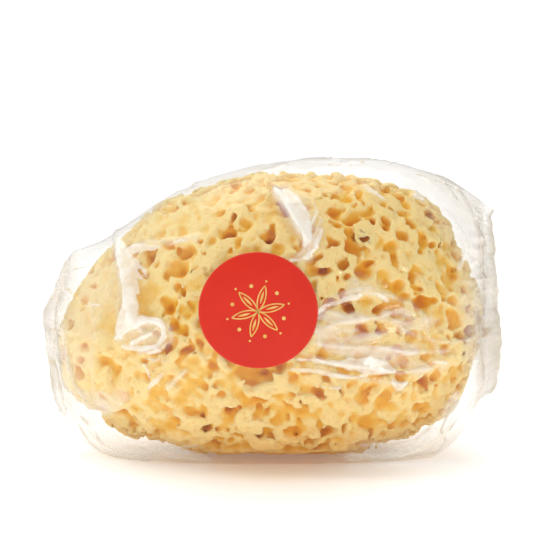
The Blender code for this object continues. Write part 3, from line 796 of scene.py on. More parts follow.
# Painted shade: warm grey veils of slack film beside the sponge, standing for shade and the sponge's reflection in it;
# how strong, how soft (mm), then x, y, half-width (px).
SHADES = (
    (0.28, 3.0, ((392, 160, 4), (418, 166, 7), (440, 180, 10), (462, 204, 12), (474, 236, 11), (478, 280, 8), (480, 330, 6), (476, 372, 7))),
    (0.24, 2.5, ((470, 196, 6), (482, 232, 7), (486, 290, 7), (488, 350, 7))),
    (0.12, 2.5, ((66, 262, 5), (60, 300, 6), (57, 350, 7), (60, 400, 9))),
    (0.50, 2.0, ((58, 388, 5), (64, 404, 7), (78, 414, 6), (92, 416, 4))),
    (0.28, 2.5, ((70, 404, 8), (88, 412, 8), (104, 408, 6))),
    (0.34, 2.5, ((72, 412, 6), (86, 430, 6), (104, 447, 5), (130, 454, 3))),
)
# Thin creases, raised a little, with painted shade darkening each one: x, y along each (px).
CREASES = (
    ((88, 416), (94, 428), (102, 437), (122, 446), (150, 451), (196, 457)), ((150, 448), (170, 446), (196, 445)),
    ((80, 422), (90, 440), (102, 452), (118, 456), (150, 457)), ((84, 412), (98, 424), (104, 434)),
    ((456, 400), (446, 412), (438, 424), (443, 437), (434, 452)), ((362, 444), (392, 441), (414, 434), (430, 422)),
    ((350, 452), (378, 455), (406, 452), (433, 450)), ((478, 392), (470, 404), (456, 410), (446, 424)),
    ((418, 160), (438, 176), (452, 198)), ((430, 166), (452, 184), (470, 214), (478, 250)), ((478, 220), (484, 262), (484, 310)),
    ((486, 300), (480, 340), (486, 380)), ((58, 290), (56, 330), (60, 372), (58, 402)), ((66, 350), (74, 384), (90, 404)),
    ((340, 160), (372, 158), (404, 162), (430, 172)), ((262, 168), (292, 160), (330, 158)),
)


def stroke(X, Z, points, soft, wobble=0.0):
    """How far each place lies inside a band of changing width, 0 to 1, 0.5 on its edge."""
    q = [on_body(px, py, 0.03) for px, py, _ in points]
    q = [(a[0], a[2], hw / PX_PER_MM) for a, (_, _, hw) in zip(q, points)]
    best = np.full(X.shape, -1e9)
    for (ax, az, aw), (bx, bz, bw) in zip(q[:-1], q[1:]):
        dx, dz = bx - ax, bz - az
        h = np.clip(((X - ax) * dx + (Z - az) * dz) / (dx * dx + dz * dz), 0.0, 1.0)
        best = np.maximum(best, aw + h * (bw - aw) - np.hypot(X - ax - h * dx, Z - az - h * dz))
    return np.clip(0.5 + (best + wobble) / soft, 0.0, 1.0)


def eased(x, xs, ys, spread):
    """Values along a table, its corners rounded off over spread."""
    offsets = np.linspace(-2.0, 2.0, 17)
    w = np.exp(-0.5 * offsets**2)
    return sum(wk * np.interp(x + o * spread, xs, ys) for wk, o in zip(w, offsets)) / w.sum()


def film_half_depths(x, tops, bottoms):
    """Half-depth of the wrap along x: clear of the sponge, pressed flat at both ends."""
    out = np.zeros(len(x))
    zs = np.linspace(0.0, 99.0, 181)
    for i, (xi, top, bottom) in enumerate(zip(x, tops, bottoms)):
        zc, b = 0.5 * (top + bottom), 0.5 * (top - bottom)
        dx, dz = xi - BODY_CENTRE[0], zs - BODY_CENTRE[1]
        rho = np.hypot(dx, dz) / outline_radius(np.arctan2(dz, dx))
        y = np.where(rho < 1.0, BODY_HALF_DEPTH * (1.0 - np.minimum(rho, 1.0) ** BODY_POWER) ** (1.0 / BODY_POWER), 0.0)
        room = np.sqrt(np.clip(1.0 - ((zs - zc) / b) ** 2, 0.02, 1.0))
        out[i] = (y / room).max()
    wide = np.maximum(np.maximum(np.roll(out, 2), np.roll(out, -2)), out)
    wide[:2], wide[-2:] = out[:2], out[-2:]
    half = np.where(wide > 0.0, wide + FILM_SLACK, 0.0)
    kernel = np.exp(-0.5 * (np.arange(-6, 7) / 2.5) ** 2)
    half = np.convolve(np.pad(half, 6, mode="edge"), kernel / kernel.sum(), mode="valid")
    return np.maximum(half, 0.32)


def ring_noise(nu, turn, length, girth, scale_u, scale_v, seed):
    """Smooth noise over the sleeve, closed round it; scales in mm."""
    nv = len(turn)
    mv = max(4, int(round(girth / scale_v)))
    wu = spline_weights(nu, 0.0, length / (nu - 1), scale_u)
    t = turn / (2 * np.pi) * mv
    i = np.floor(t).astype(int)
    f = t - i
    wv = np.zeros((nv, mv), np.float32)
    rows = np.arange(nv)
    for k, w in ((-1, (1 - f) ** 3 / 6), (0, (3 * f**3 - 6 * f**2 + 4) / 6), (1, (-3 * f**3 + 3 * f**2 + 3 * f + 1) / 6), (2, f**3 / 6)):
        np.add.at(wv, (rows, (i + k) % mv), w)
    lattice = np.random.default_rng(seed).standard_normal((wu.shape[1], mv))
    return (wu @ lattice @ wv.T) * 1.7


def to_line(x, z, line):
    """Distance from x, z to a polyline."""
    best = np.full(x.shape, 1e9)
    for (ax, az), (bx, bz) in zip(line[:-1], line[1:]):
        dx, dz = bx - ax, bz - az
        h = np.clip(((x - ax) * dx + (z - az) * dz) / (dx * dx + dz * dz), 0.0, 1.0)
        best = np.minimum(best, np.hypot(x - ax - h * dx, z - az - h * dz))
    return best


def grid_normals(p):
    du = np.gradient(p, axis=0)
    wrapped = np.concatenate([p[:, -1:], p, p[:, :1]], 1)
    dv = 0.5 * (wrapped[:, 2:] - wrapped[:, :-2])
    n = np.cross(du, dv)
    n /= np.maximum(np.linalg.norm(n, axis=2), 1e-9)[..., None]
    return n


def film_base(x, turn):
    tops = eased(x, FILM_STATIONS[:, 0], FILM_STATIONS[:, 1], 2.0)
    bottoms = eased(x, FILM_STATIONS[:, 0], FILM_STATIONS[:, 2], 2.0)
    half = film_half_depths(x, tops, bottoms)
    zc, b = 0.5 * (tops + bottoms), 0.5 * (tops - bottoms)
    p = np.zeros((len(x), len(turn), 3))
    p[..., 0] = x[:, None]
    p[..., 1] = -half[:, None] * np.sin(turn)[None, :]
    p[..., 2] = zc[:, None] + b[:, None] * np.cos(turn)[None, :]
    return p


def build_film(sponge_field):
    nu, nv = FILM_LENGTHS, FILM_ROUND
    left, right = FILM_STATIONS[0, 0], FILM_STATIONS[-1, 0]
    x = np.linspace(left, right, nu)
    v = 2 * np.pi * (np.arange(nv) + 0.5) / nv
    turn = v + 0.34 * np.cos(v)  # closer together on the front
    p = film_base(x, turn)
    n = grid_normals(p)
    if (n[nu // 2, nv // 4] @ np.array((0.0, -1.0, 0.0))) < 0:
        n = -n
    X, Y, Z = p[..., 0], p[..., 1], p[..., 2]
    length, girth = right - left, 270.0

    ends = np.clip((np.abs(X) - 40.0) / 30.0, 0.0, 1.0)
    fin = np.clip(np.maximum(FIN_FROM[0] + 3.0 - X, X - FIN_FROM[1] + 3.0) / 3.5, 0.0, 1.0)
    lx, lz = LABEL_CENTRE
    from_label = np.hypot(X - lx, (Z - lz) / LABEL_SLOPE)
    off_label = np.where(Y < 0, np.clip((from_label - LABEL_RADIUS + 1.0) / 7.0, 0.0, 1.0), 1.0)

    # slack wrinkles that run along the sleeve, and a net of sharp creases
    along = ring_noise(nu, turn, length, girth, 26.0, 5.5, 41)
    along2 = ring_noise(nu, turn, length, girth, 14.0, 3.2, 42)
    net = ring_noise(nu, turn, length, girth, 10.0, 9.0, 43)
    net2 = ring_noise(nu, turn, length, girth, 5.0, 4.5, 44)
    loose = ring_noise(nu, turn, length, girth, 22.0, 20.0, 45)
    where = np.clip(0.5 + 0.6 * loose, 0.15, 1.0) * off_label
    crest = lambda v, w: np.exp(-np.abs(v) / w)
    h = where * (
        (0.35 + 0.9 * ends) * 0.55 * crest(along, 0.28)
        + (0.25 + 0.8 * ends) * 0.35 * crest(along2, 0.3)
        + 0.42 * crest(net, 0.22) + 0.24 * crest(net2, 0.25)
        + 0.25 * np.clip(loose, -0.5, 1.5)
    )
    haze_and_painted_light = where * (0.05 * crest(net, 0.06) + 0.035 * crest(along, 0.07) + 0.02 * crest(net2, 0.07))

    # folds seen in the frame, on the front
    front = Y < 0
    for points, height, width, white in FOLDS:
        line = [on_body(px, py, 0.03) for px, py in points]
        line = [(q[0], q[2]) for q in line]
        d = to_line(X, Z, line)
        near = front & (d < 9.0)
        crease = np.where(near, np.exp(-d / width), 0.0)
        h += crease * height * np.clip(off_label + 0.1, 0, 1)
        haze_and_painted_light += np.where(near, 0.8 * white * np.exp(-((d / (width * 0.75)) ** 2)), 0.0) * np.clip(off_label + 0.15, 0, 1)

    fine = ring_noise(nu, turn, length, girth, 2.2, 2.0, 46)
    middling = ring_noise(nu, turn, length, girth, 5.0, 4.0, 47)
    glare = np.zeros(X.shape)
    for points in GLARE:
        glare = np.maximum(glare, stroke(X, Z, points, 1.6, 0.28 * fine))
    glare = np.where(from_label > LABEL_RADIUS - 0.5, glare, 0.0) * np.clip((2.0 - Y) / 5.0, 0.0, 1.0)
    # painted glints and a faint painted sheen on the crinkles of the back half and top
    unseen = np.clip((Y + 10.0) / 10.0, 0.0, 1.0) * np.clip((Z - 12.0) / 14.0, 0.0, 1.0)
    shine = crest(along + 0.5 * net, 0.16) * np.clip(0.8 * loose - 0.1, 0.0, 1.0) + 0.8 * crest(net + 0.4 * middling, 0.10) * np.clip(-0.8 * loose, 0.0, 1.0)
    glare = np.maximum(glare, unseen * np.clip(1.25 * shine - 0.12 * fine, 0.0, 0.9))
    haze_and_painted_light += 0.16 * unseen * np.clip(shine + 0.25 * np.clip(loose, 0.0, 1.0), 0.0, 1.0)
    # painted sheen: soft whitish veils laid into the haze map
    sheen = np.zeros(X.shape)
    for strength, soft, points in SHEEN_STROKES:
        sheen = np.maximum(sheen, strength * stroke(X, Z, points, soft, 0.5 * (fine + middling)))
    sheen = np.where(from_label > LABEL_RADIUS - 0.5, sheen, 0.0) * np.clip((3.0 - Y) / 7.0, 0.0, 1.0)
    haze_and_painted_light += sheen * (1.0 - 0.4 * np.clip(np.abs(fine), 0.0, 1.0))
    shade = np.zeros(X.shape)
    for strength, soft, points in SHADES:
        shade = np.maximum(shade, strength * stroke(X, Z, points, soft, 0.6 * middling))
    crease = np.zeros(X.shape)
    for points in CREASES:
        crease = np.maximum(crease, stroke(X, Z, [(px, py, 0.9) for px, py in points], 0.8, 0.12 * fine))
    ahead = np.clip((5.0 - Y) / 9.0, 0.0, 1.0)
    shade, crease = shade * (0.45 + 0.25 * ahead), crease * ahead
    h += 0.35 * crease
    haze_and_painted_light += shade + 0.68 * crease * (1.0 - 0.6 * np.clip((Z - 66.0) / 14.0, 0.0, 1.0))
    h += 0.5 * glare * off_label

    h *= 1.0 - 0.85 * fin
    p = p + n * h[..., None]

    # pressed ends: pleats across both layers, and a ragged cut edge
    z = p[..., 2]
    pleat = (
        0.55 * np.sin(z / 3.4 + 0.8 * np.sin(z / 9.0)) + 0.25 * np.sin(z / 1.6 + 1.0) * np.sin(z / 7.0)
        + 1.8 * np.sin(z / 12.0 + 0.5)
    )
    tail = np.clip(np.maximum(-66.0 - X, X - 66.0) / 10.0, 0.0, 1.0)
    p[..., 1] += tail**1.5 * pleat * np.where(X < 0, 1.0, 0.9)
    left_x = np.interp(z, *zip(*LEFT_EDGE)) - left
    right_x = np.interp(z, *zip(*RIGHT_EDGE)) - right
    ragged = 0.25 * np.sin(z / 0.9) * np.sin(z / 3.3) + 0.2 * np.sin(z / 2.3 + 2.0)
    wl = np.clip((-60.0 - X) / 16.0, 0.0, 1.0) ** 2
    wr = np.clip((X - 60.0) / 16.0, 0.0, 1.0) ** 2
    p[..., 0] += wl * (left_x + ragged) + wr * (right_x + ragged)

    # stays outside the sponge
    field, start, step = sponge_field
    for _ in range(2):
        gap = sample(field, start, step, p.reshape(-1, 3)).reshape(nu, nv)
        inside_grid = (p[..., 0] > -72.8) & (p[..., 0] < 71.6) & (np.abs(p[..., 1]) < 40.5) & (p[..., 2] < 97.0)
        push = np.where(inside_grid, np.clip(0.35 - gap, 0.0, 3.0), 0.0)
        for _ in range(2):
            push = np.maximum(push, 0.25 * (np.roll(push, 1, 1) + np.roll(push, -1, 1)) + 0.25 * (np.roll(push, 1, 0) + np.roll(push, -1, 0)))
        p = p + n * push[..., None]

    streak = ring_noise(nu, turn, length, girth, 12.0, 2.2, 51)
    cloud = ring_noise(nu, turn, length, girth, 9.0, 7.0, 52)
    upright = ring_noise(nu, turn, length, girth, 2.4, 16.0, 53)
    side = np.where(X > 0, 0.92, 0.7)
    haze_and_painted_light += tail * side * np.clip(0.49 + 0.20 * crest(streak, 0.35) + 0.10 * cloud + 0.14 * upright, 0.05, 0.8)
    rim = np.exp(-np.minimum(X - left, right - X) / 0.7)
    haze_and_painted_light += 0.15 * rim
    low_film = np.clip((14.0 - Z) / 8.0, 0.0, 1.0) * np.clip((np.abs(X - 2.0) - 20.0) / 8.0, 0.0, 1.0)
    haze_and_painted_light += low_film * np.clip(0.04 + 0.05 * cloud + 0.10 * crest(along, 0.12), 0.0, 0.3)
    # painted shade and painted reflection: a warm grey on the pressed ends, the slack film and the creases stands for
    # shade and the sponge's golden reflection in the film; cloud adds a random tone
    painted_shade_tint = tail * (0.72 + 0.22 * upright) * side + 0.10 * cloud + 1.2 * shade + 1.7 * crease
    painted_shade_tint = np.clip(painted_shade_tint, 0.0, 1.0)
    glints = np.clip(crest(upright, 0.12) - 0.45, 0.0, 1.0) * tail
    painted_shade_tint *= 1.0 - np.clip(2.0 * glints, 0.0, 0.9)

    p[..., 2] = np.maximum(p[..., 2], 0.12)

    i, j = np.meshgrid(np.arange(nu - 1), np.arange(nv), indexing="ij")
    k = (j + 1) % nv
    quads = np.stack([i * nv + j, i * nv + k, (i + 1) * nv + k, (i + 1) * nv + j], -1).reshape(-1, 4)
    side = np.cross(p[nu // 2, nv // 4 + 1] - p[nu // 2, nv // 4], p[nu // 2 + 1, nv // 4] - p[nu // 2, nv // 4])
    if side @ np.array((0.0, -1.0, 0.0)) < 0:
        quads = quads[:, ::-1]
    film = mesh_object("film_wrap_skin", p.reshape(-1, 3), quads)
    # the haze map carries the film's crinkle haze together with painted sheen, painted glints and painted shade
    set_attribute(film, "haze_and_painted_light", np.clip(haze_and_painted_light, 0.0, 1.0).ravel())
    set_attribute(film, "glare", np.clip(glare, 0.0, 1.0).ravel())
    set_attribute(film, "painted_shade_tint", np.clip(painted_shade_tint, 0.0, 1.0).ravel())
    return film, p


def film_front_y(x, z, p):
    """y of the film's front at x, z, from its grid."""
    nu, nv = p.shape[:2]
    half = p[:, : nv // 2]
    pts = half[np.abs(half[:, :, 0].mean(1) - LABEL_CENTRE[0]) < LABEL_RADIUS + 4.0].reshape(-1, 3)
    out = np.zeros(len(x))
    for i, (a, b) in enumerate(zip(x, z)):
        d2 = (pts[:, 0] - a) ** 2 + (pts[:, 2] - b) ** 2
        w = np.exp(-d2 / 2.0)
        out[i] = (w * pts[:, 1]).sum() / w.sum()
    return out


def film_material():
    mat, nodes, links, out = new_material("clear_film")
    coords = nodes.new("ShaderNodeTexCoord").outputs["Object"]

    def noise(scale, detail=2.0):
        n = nodes.new("ShaderNodeTexNoise")
        n.inputs["Scale"].default_value = scale
        n.inputs["Detail"].default_value = detail
        links.new(coords, n.inputs["Vector"])
        return n.outputs["Fac"]

    # painted highlights: the glare bands as a soft white map with a torn edge
    torn = math_node(nodes, links, "MULTIPLY", math_node(nodes, links, "SUBTRACT", noise(650.0), 0.5), 0.5)
    white = nodes.new("ShaderNodeMapRange")
    links.new(math_node(nodes, links, "ADD", attribute(nodes, "glare"), torn), white.inputs["Value"])
    white.inputs["From Min"].default_value = 0.36
    white.inputs["From Max"].default_value = 0.70
    white = white.outputs["Result"]
    weight = nodes.new("ShaderNodeLayerWeight")
    weight.inputs["Blend"].default_value = 0.5
    grazing = math_node(nodes, links, "POWER", weight.outputs["Facing"], 4.0)
    shine = math_node(nodes, links, "ADD", math_node(nodes, links, "MULTIPLY", grazing, 0.5), 0.05)
    uneven = math_node(nodes, links, "ADD", math_node(nodes, links, "MULTIPLY", noise(240.0), 0.7), 0.19)
    cover = math_node(nodes, links, "ADD", attribute(nodes, "haze_and_painted_light"), math_node(nodes, links, "MULTIPLY", white, uneven))
    alpha = math_node(nodes, links, "ADD", shine, cover, clamp=True)
    metal = math_node(nodes, links, "DIVIDE", shine, alpha, clamp=True)
    # warm grey where the tint map is high (painted shade and reflection), cream where the glare map is high (painted
    # highlight)
    colour = mix_colour(nodes, links, attribute(nodes, "painted_shade_tint"), (0.93, 0.905, 0.85), (0.70, 0.63, 0.52))
    colour = mix_colour(nodes, links, white, colour, (0.95, 0.895, 0.79))
    shader = nodes.new("ShaderNodeBsdfPrincipled")
    links.new(colour, shader.inputs["Base Color"])
    shader.inputs["Roughness"].default_value = 0.1
    links.new(metal, shader.inputs["Metallic"])
    clear = nodes.new("ShaderNodeBsdfTransparent")
    clear.inputs["Color"].default_value = (0.98, 0.976, 0.968, 1.0)
    mix = nodes.new("ShaderNodeMixShader")
    links.new(alpha, mix.inputs[0])
    links.new(clear.outputs[0], mix.inputs[1])
    links.new(shader.outputs[0], mix.inputs[2])
    bump = nodes.new("ShaderNodeBump")
    bump.inputs["Strength"].default_value = 0.25
    bump.inputs["Distance"].default_value = 0.0006
    links.new(noise(160.0), bump.inputs["Height"])
    links.new(bump.outputs["Normal"], shader.inputs["Normal"])
    links.new(mix.outputs[0], out.inputs["Surface"])
    return mat


# ---- label ------------------------------------------------------------------------------
LABEL_CENTRE = (-4.6, 54.0)
LABEL_RADIUS = 19.0
LABEL_SLOPE = 0.965  # the film leans back where the label sits
PRINT_TURN = 15.0  # degrees
PETAL_RING = 8.6


def build_label(p):
    """A thin round of paper laid on the film, with a rounded cut edge."""
    cx, cz = LABEL_CENTRE
    rings, segments = 20, 160
    radii = list(np.linspace(0.0, LABEL_RADIUS - 0.45, rings))[1:]
    profile = [(r, 0.16) for r in radii] + [(LABEL_RADIUS - 0.28, 0.16), (LABEL_RADIUS - 0.05, 0.15), (LABEL_RADIUS, 0.09), (LABEL_RADIUS, 0.0)]
    a = 2 * np.pi * np.arange(segments) / segments
    xs, zs, lift = [cx], [cz], [0.16]
    for r, t in profile:
        xs += list(cx + r * np.cos(a))
        zs += list(cz + LABEL_SLOPE * r * np.sin(a))
        lift += [t] * segments
    xs, zs, lift = np.array(xs), np.array(zs), np.array(lift)
    y = film_front_y(xs, zs, p) - 0.18 - lift
    pts = np.stack([xs, y, zs], 1)
    quads, tris = [], []
    n = len(profile)
    for i in range(n - 1):
        for j in range(segments):
            k = (j + 1) % segments
            quads.append((1 + i * segments + j, 1 + i * segments + k, 1 + (i + 1) * segments + k, 1 + (i + 1) * segments + j))
    quads = np.array(quads)
    fan = np.array([(0, 1 + j, 1 + (j + 1) % segments) for j in range(segments)])
    tris = np.concatenate([fan[:, [0, 1, 2]], quads[:, [0, 3, 2]], quads[:, [0, 2, 1]]])
    a0, b0, c0 = pts[tris[0]]
    if np.cross(b0 - a0, c0 - a0)[1] > 0:
        tris = tris[:, ::-1]
    label = mesh_object("round_label", pts, tris)
    r = np.hypot(xs - cx, (zs - cz) / LABEL_SLOPE)
    set_attribute(label, "rim", np.clip((r - LABEL_RADIUS + 0.35) / 0.2, 0.0, 1.0))
    return label, pts


def ribbon(points, width, closed=False):
    """A flat band along 2-D points."""
    q = np.array(points, float)
    if closed:
        t = np.roll(q, -1, 0) - np.roll(q, 1, 0)
    else:
        t = np.gradient(q, axis=0)
    t /= np.linalg.norm(t, axis=1)[:, None]
    n = np.stack([-t[:, 1], t[:, 0]], 1)
    w = np.asarray(width) * 0.5
    w = np.broadcast_to(w, (len(q),))[:, None]
    return np.concatenate([q + n * w, q - n * w]), closed


def build_print(p):
    """A compass-drawn flower of six petals with small dots, printed in pale gold."""
    flat, faces = [], []

    def add_band(points, width, closed=False):
        v, ring = ribbon(points, width, closed)
        m, base = len(points), sum(len(f) for f in flat)
        for i in range(m if ring else m - 1):
            k = (i + 1) % m
            faces.append((base + i, base + k, base + m + k, base + m + i))
        flat.append(v)

    def add_disc(cx, cz, r):
        base = sum(len(f) for f in flat)
        m = 20
        a = 2 * np.pi * np.arange(m) / m
        inner = np.stack([cx + 0.02 * r * np.cos(a), cz + 0.02 * r * np.sin(a)], 1)
        outer = np.stack([cx + r * np.cos(a), cz + r * np.sin(a)], 1)
        flat.append(np.concatenate([inner, outer]))
        for i in range(m):
            k = (i + 1) % m
            faces.append((base + i, base + k, base + m + k, base + m + i))

    R = PETAL_RING
    turn = math.radians(PRINT_TURN)
    for s in range(6):
        a = turn + s * math.pi / 3
        # a petal's two arcs run from the centre to the tip, each struck from a neighbouring tip
        for hand in (-1, 1):
            c = np.array((math.cos(a + hand * math.pi / 3), math.sin(a + hand * math.pi / 3))) * R
            start = math.atan2(-c[1], -c[0])
            arc = start + hand * np.linspace(0.0, math.pi / 3, 26) * -1.0
            line = np.stack([c[0] + R * np.cos(arc), c[1] + R * np.sin(arc)], 1)
            tip = np.array((math.cos(a), math.sin(a))) * R
            if np.linalg.norm(line[-1] - tip) > 0.1:
                arc = start + hand * np.linspace(0.0, math.pi / 3, 26)
                line = np.stack([c[0] + R * np.cos(arc), c[1] + R * np.sin(arc)], 1)
            add_band(line, 0.42)
        mid = np.array((math.cos(a), math.sin(a)))
        add_band([mid * R * t for t in np.linspace(0.3, 0.78, 8)], 0.75 * np.sin(np.linspace(0.15, math.pi - 0.15, 8)))
        b = a + math.pi / 6
        add_disc(math.cos(b) * R * 0.98, math.sin(b) * R * 0.98, 0.62)
        add_disc(math.cos(a) * R * 1.17, math.sin(a) * R * 1.17, 0.36)
    flat = np.concatenate(flat)
    cx, cz = LABEL_CENTRE
    xs, zs = cx + flat[:, 0], cz + LABEL_SLOPE * flat[:, 1]
    y = film_front_y(xs, zs, p) - 0.18 - 0.16 - 0.05
    faces = np.array(faces)
    pts = np.stack([xs, y, zs], 1)
    tris = np.concatenate([faces[:, [0, 1, 2]], faces[:, [0, 2, 3]]])
    e1, e2 = pts[tris[:, 1]] - pts[tris[:, 0]], pts[tris[:, 2]] - pts[tris[:, 0]]
    flip = np.cross(e1, e2)[:, 1] > 0
    tris[flip] = tris[flip][:, ::-1]
    return mesh_object("label_flower", pts, tris)


def label_material():
    mat, nodes, links, out = new_material("red_label_paper")
    shader = nodes.new("ShaderNodeBsdfPrincipled")
    coords = nodes.new("ShaderNodeTexCoord").outputs["Object"]
    n = nodes.new("ShaderNodeTexNoise")
    n.inputs["Scale"].default_value = 70.0
    n.inputs["Detail"].default_value = 3.0
    links.new(coords, n.inputs["Vector"])
    tone = ramp(nodes, ((0.3, linear(212, 41, 25)), (0.7, linear(220, 46, 28))))
    links.new(n.outputs["Fac"], tone.inputs["Fac"])
    colour = mix_colour(nodes, links, attribute(nodes, "rim"), tone.outputs["Color"], linear(222, 84, 62))
    links.new(colour, shader.inputs["Base Color"])
    shader.inputs["Roughness"].default_value = 0.4
    shader.inputs["Specular IOR Level"].default_value = 0.25
    fine = nodes.new("ShaderNodeTexNoise")
    fine.inputs["Scale"].default_value = 1500.0
    links.new(coords, fine.inputs["Vector"])
    bump = nodes.new("ShaderNodeBump")
    bump.inputs["Strength"].default_value = 0.12
    bump.inputs["Distance"].default_value = 0.0002
    links.new(fine.outputs["Fac"], bump.inputs["Height"])
    links.new(bump.outputs["Normal"], shader.inputs["Normal"])
    links.new(shader.outputs[0], out.inputs["Surface"])
    return mat


def print_material():
    mat, nodes, links, out = new_material("pale_gold_ink")
    shader = nodes.new("ShaderNodeBsdfPrincipled")
    coords = nodes.new("ShaderNodeTexCoord").outputs["Object"]
    n = nodes.new("ShaderNodeTexNoise")
    n.inputs["Scale"].default_value = 400.0
    links.new(coords, n.inputs["Vector"])
    tone = ramp(nodes, ((0.3, linear(232, 176, 84)), (0.7, linear(246, 204, 118))))
    links.new(n.outputs["Fac"], tone.inputs["Fac"])
    links.new(tone.outputs["Color"], shader.inputs["Base Color"])
    shader.inputs["Roughness"].default_value = 0.38
    shader.inputs["Metallic"].default_value = 0.25
    links.new(shader.outputs[0], out.inputs["Surface"])
    return mat


# ---- stage, light and camera ----------------------------------------------------------
def build_stage():
    mesh = bpy.data.meshes.new("floor")
    turns = np.linspace(0.0, 2.0 * np.pi, 96, endpoint=False)
    rings = (0.05, 0.1, 0.2, 0.4, 0.8, 1.6)
    points = [(0.0, 0.0, 0.0)] + [(r * math.cos(a), r * math.sin(a), 0.0) for r in rings for a in turns]
    faces = [(0, 1 + j, 1 + (j + 1) % 96) for j in range(96)]
    for i in range(len(rings) - 1):
        for j in range(96):
            k = (j + 1) % 96
            faces.append((1 + i * 96 + j, 1 + (i + 1) * 96 + j, 1 + (i + 1) * 96 + k, 1 + i * 96 + k))
    mesh.from_pydata(points, [], faces)
    floor = bpy.data.objects.new("floor", mesh)
    bpy.context.scene.collection.objects.link(floor)
    mat, nodes, links, out = new_material("studio_floor")
    shader = nodes.new("ShaderNodeBsdfPrincipled")
    shader.inputs["Base Color"].default_value = (0.965, 0.962, 0.955, 1.0)
    shader.inputs["Roughness"].default_value = 0.32
    shader.inputs["Specular IOR Level"].default_value = 0.25
    far = nodes.new("ShaderNodeVectorMath")
    far.operation = "LENGTH"
    wide = nodes.new("ShaderNodeVectorMath")
    wide.operation = "MULTIPLY"
    wide.inputs[1].default_value = (2.0, 1.0, 1.0)
    links.new(nodes.new("ShaderNodeTexCoord").outputs["Object"], wide.inputs[0])
    links.new(wide.outputs["Vector"], far.inputs[0])
    # warm light thrown back by the sponge where it nearly touches the floor
    warm = ramp(nodes, ((0.0, (0.965, 0.88, 0.72)), (1.0, (0.965, 0.962, 0.955))))
    away = nodes.new("ShaderNodeMapRange")
    links.new(far.outputs["Value"], away.inputs["Value"])
    away.inputs["From Min"].default_value = 0.030
    away.inputs["From Max"].default_value = 0.050
    links.new(away.outputs["Result"], warm.inputs["Fac"])
    links.new(warm.outputs["Color"], shader.inputs["Base Color"])
    # painted shadow: the floor gives off light, less near the sponge and more away from it
    glow = nodes.new("ShaderNodeMapRange")
    glow.interpolation_type = "SMOOTHSTEP"
    links.new(far.outputs["Value"], glow.inputs["Value"])
    glow.inputs["From Min"].default_value = 0.030
    glow.inputs["From Max"].default_value = 0.16
    glow.inputs["To Min"].default_value = 0.17
    glow.inputs["To Max"].default_value = 0.45
    shader.inputs["Emission Color"].default_value = (1.0, 1.0, 1.0, 1.0)
    links.new(glow.outputs["Result"], shader.inputs["Emission Strength"])
    links.new(shader.outputs["BSDF"], out.inputs["Surface"])
    floor.data.materials.append(mat)


def area_light(name, place, target, size, power, colour=(1, 1, 1)):
    data = bpy.data.lights.new(name, "AREA")
    data.shape = "RECTANGLE"
    data.size, data.size_y = size
    data.energy = power
    data.color = colour
    lamp = bpy.data.objects.new(name, data)
    bpy.context.scene.collection.objects.link(lamp)
    lamp.location = place
    lamp.rotation_euler = (Vector(target) - Vector(place)).to_track_quat("-Z", "Y").to_euler()
    return lamp


def mirror_light(name, spot, distance, size, radiance):
    """A soft box placed where the film at a place in the frame mirrors it to the camera."""
    q = on_body(*spot, 0.03)
    normal = -frame_at(q)[0]
    eye, d = sight(*spot)
    r = d - 2.0 * float(d @ normal) * normal
    place = (q * MM) + r * distance
    place[2] = max(place[2], 0.12)
    print("LIGHT", name, [round(float(v), 3) for v in place])
    return area_light(name, tuple(place), tuple(q * MM), size, radiance * math.pi * size[0] * size[1])


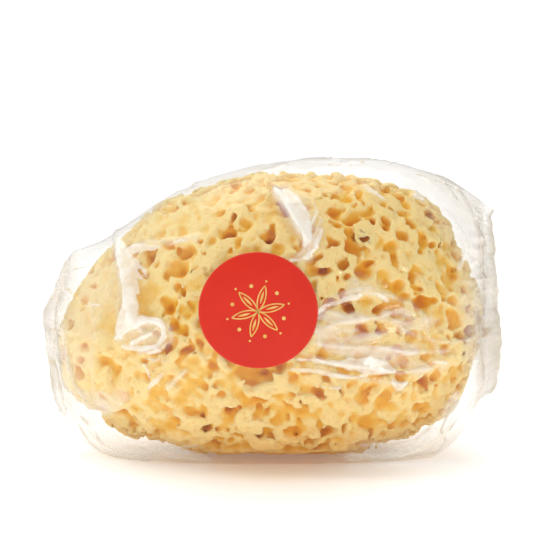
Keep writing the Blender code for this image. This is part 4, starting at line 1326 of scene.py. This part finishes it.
def build_light():
    world = bpy.data.worlds.new("studio")
    bpy.context.scene.world = world
    world.use_nodes = True
    nodes, links = world.node_tree.nodes, world.node_tree.links
    nodes.remove(nodes["Background"])

    def background(name, strength):
        node = nodes.new("ShaderNodeBackground")
        node.name = name
        node.inputs["Color"].default_value = (1.0, 0.998, 0.992, 1.0)
        node.inputs["Strength"].default_value = strength
        return node.outputs[0]

    path = nodes.new("ShaderNodeLightPath")
    mirrored = nodes.new("ShaderNodeMixShader")
    links.new(path.outputs["Is Glossy Ray"], mirrored.inputs[0])
    links.new(background("fill", 0.45), mirrored.inputs[1])
    links.new(background("room", 0.42), mirrored.inputs[2])
    both = nodes.new("ShaderNodeMixShader")
    links.new(path.outputs["Is Camera Ray"], both.inputs[0])
    links.new(mirrored.outputs[0], both.inputs[1])
    links.new(background("backdrop", 1.04), both.inputs[2])
    links.new(both.outputs[0], nodes["World Output"].inputs["Surface"])
    left = mirror_light("left_strip", (126, 275), 0.85, (0.17, 0.55), 6.6)
    left.visible_glossy = False
    mirror_light("right_strip", (385, 350), 0.85, (0.10, 0.3), 5.0)
    top = mirror_light("top_box", (290, 205), 0.85, (0.5, 0.28), 2.2)
    top.visible_glossy = False
    front = area_light("front_soft", (-0.22, -1.05, 0.38), (0.0, 0.0, 0.05), (0.8, 0.55), 1.5 * math.pi * 0.44, (1.0, 0.985, 0.955))
    front.visible_glossy = False
    sun = bpy.data.lights.new("high_window", "SUN")
    sun.energy = 0.95
    sun.angle = math.radians(50.0)
    sun.color = (1.0, 0.985, 0.96)
    lamp = bpy.data.objects.new("high_window", sun)
    bpy.context.scene.collection.objects.link(lamp)
    lamp.rotation_euler = Vector((0.06, -0.36, -1.0)).to_track_quat("-Z", "Y").to_euler()
    scene = bpy.context.scene
    scene.view_settings.view_transform = "Standard"
    scene.view_settings.look = "None"


def build_camera():
    data = bpy.data.cameras.new("camera")
    data.sensor_width = 36.0
    data.sensor_fit = "HORIZONTAL"
    data.lens = 36.0 * PX_PER_MM * CAM_DISTANCE / 540.0
    data.clip_start = 0.01
    data.clip_end = 50.0
    camera = bpy.data.objects.new("camera", data)
    bpy.context.scene.collection.objects.link(camera)
    eye, forward, up = camera_axes()
    shift = np.array((0.0, CENTRING, 0.0))
    camera.location = Vector((eye + shift) * MM)
    camera.rotation_euler = Vector(forward).to_track_quat("-Z", "Y").to_euler()
    bpy.context.scene.camera = camera


build_camera()
build_light()
build_stage()

sponge_halves, sponge_field = build_sponge()
sponge_look = sponge_material()
for half in sponge_halves:
    half.data.materials.append(sponge_look)
    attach(half, "root")
    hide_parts("sponge")

film, film_grid = build_film(sponge_field)
film.data.materials.append(film_material())
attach(film, "root")
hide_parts("film_wrap")

label, label_points = build_label(film_grid)
label.data.materials.append(label_material())
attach(label, "root")
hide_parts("label")

flower = build_print(film_grid)
flower.data.materials.append(print_material())
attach(flower, "root")

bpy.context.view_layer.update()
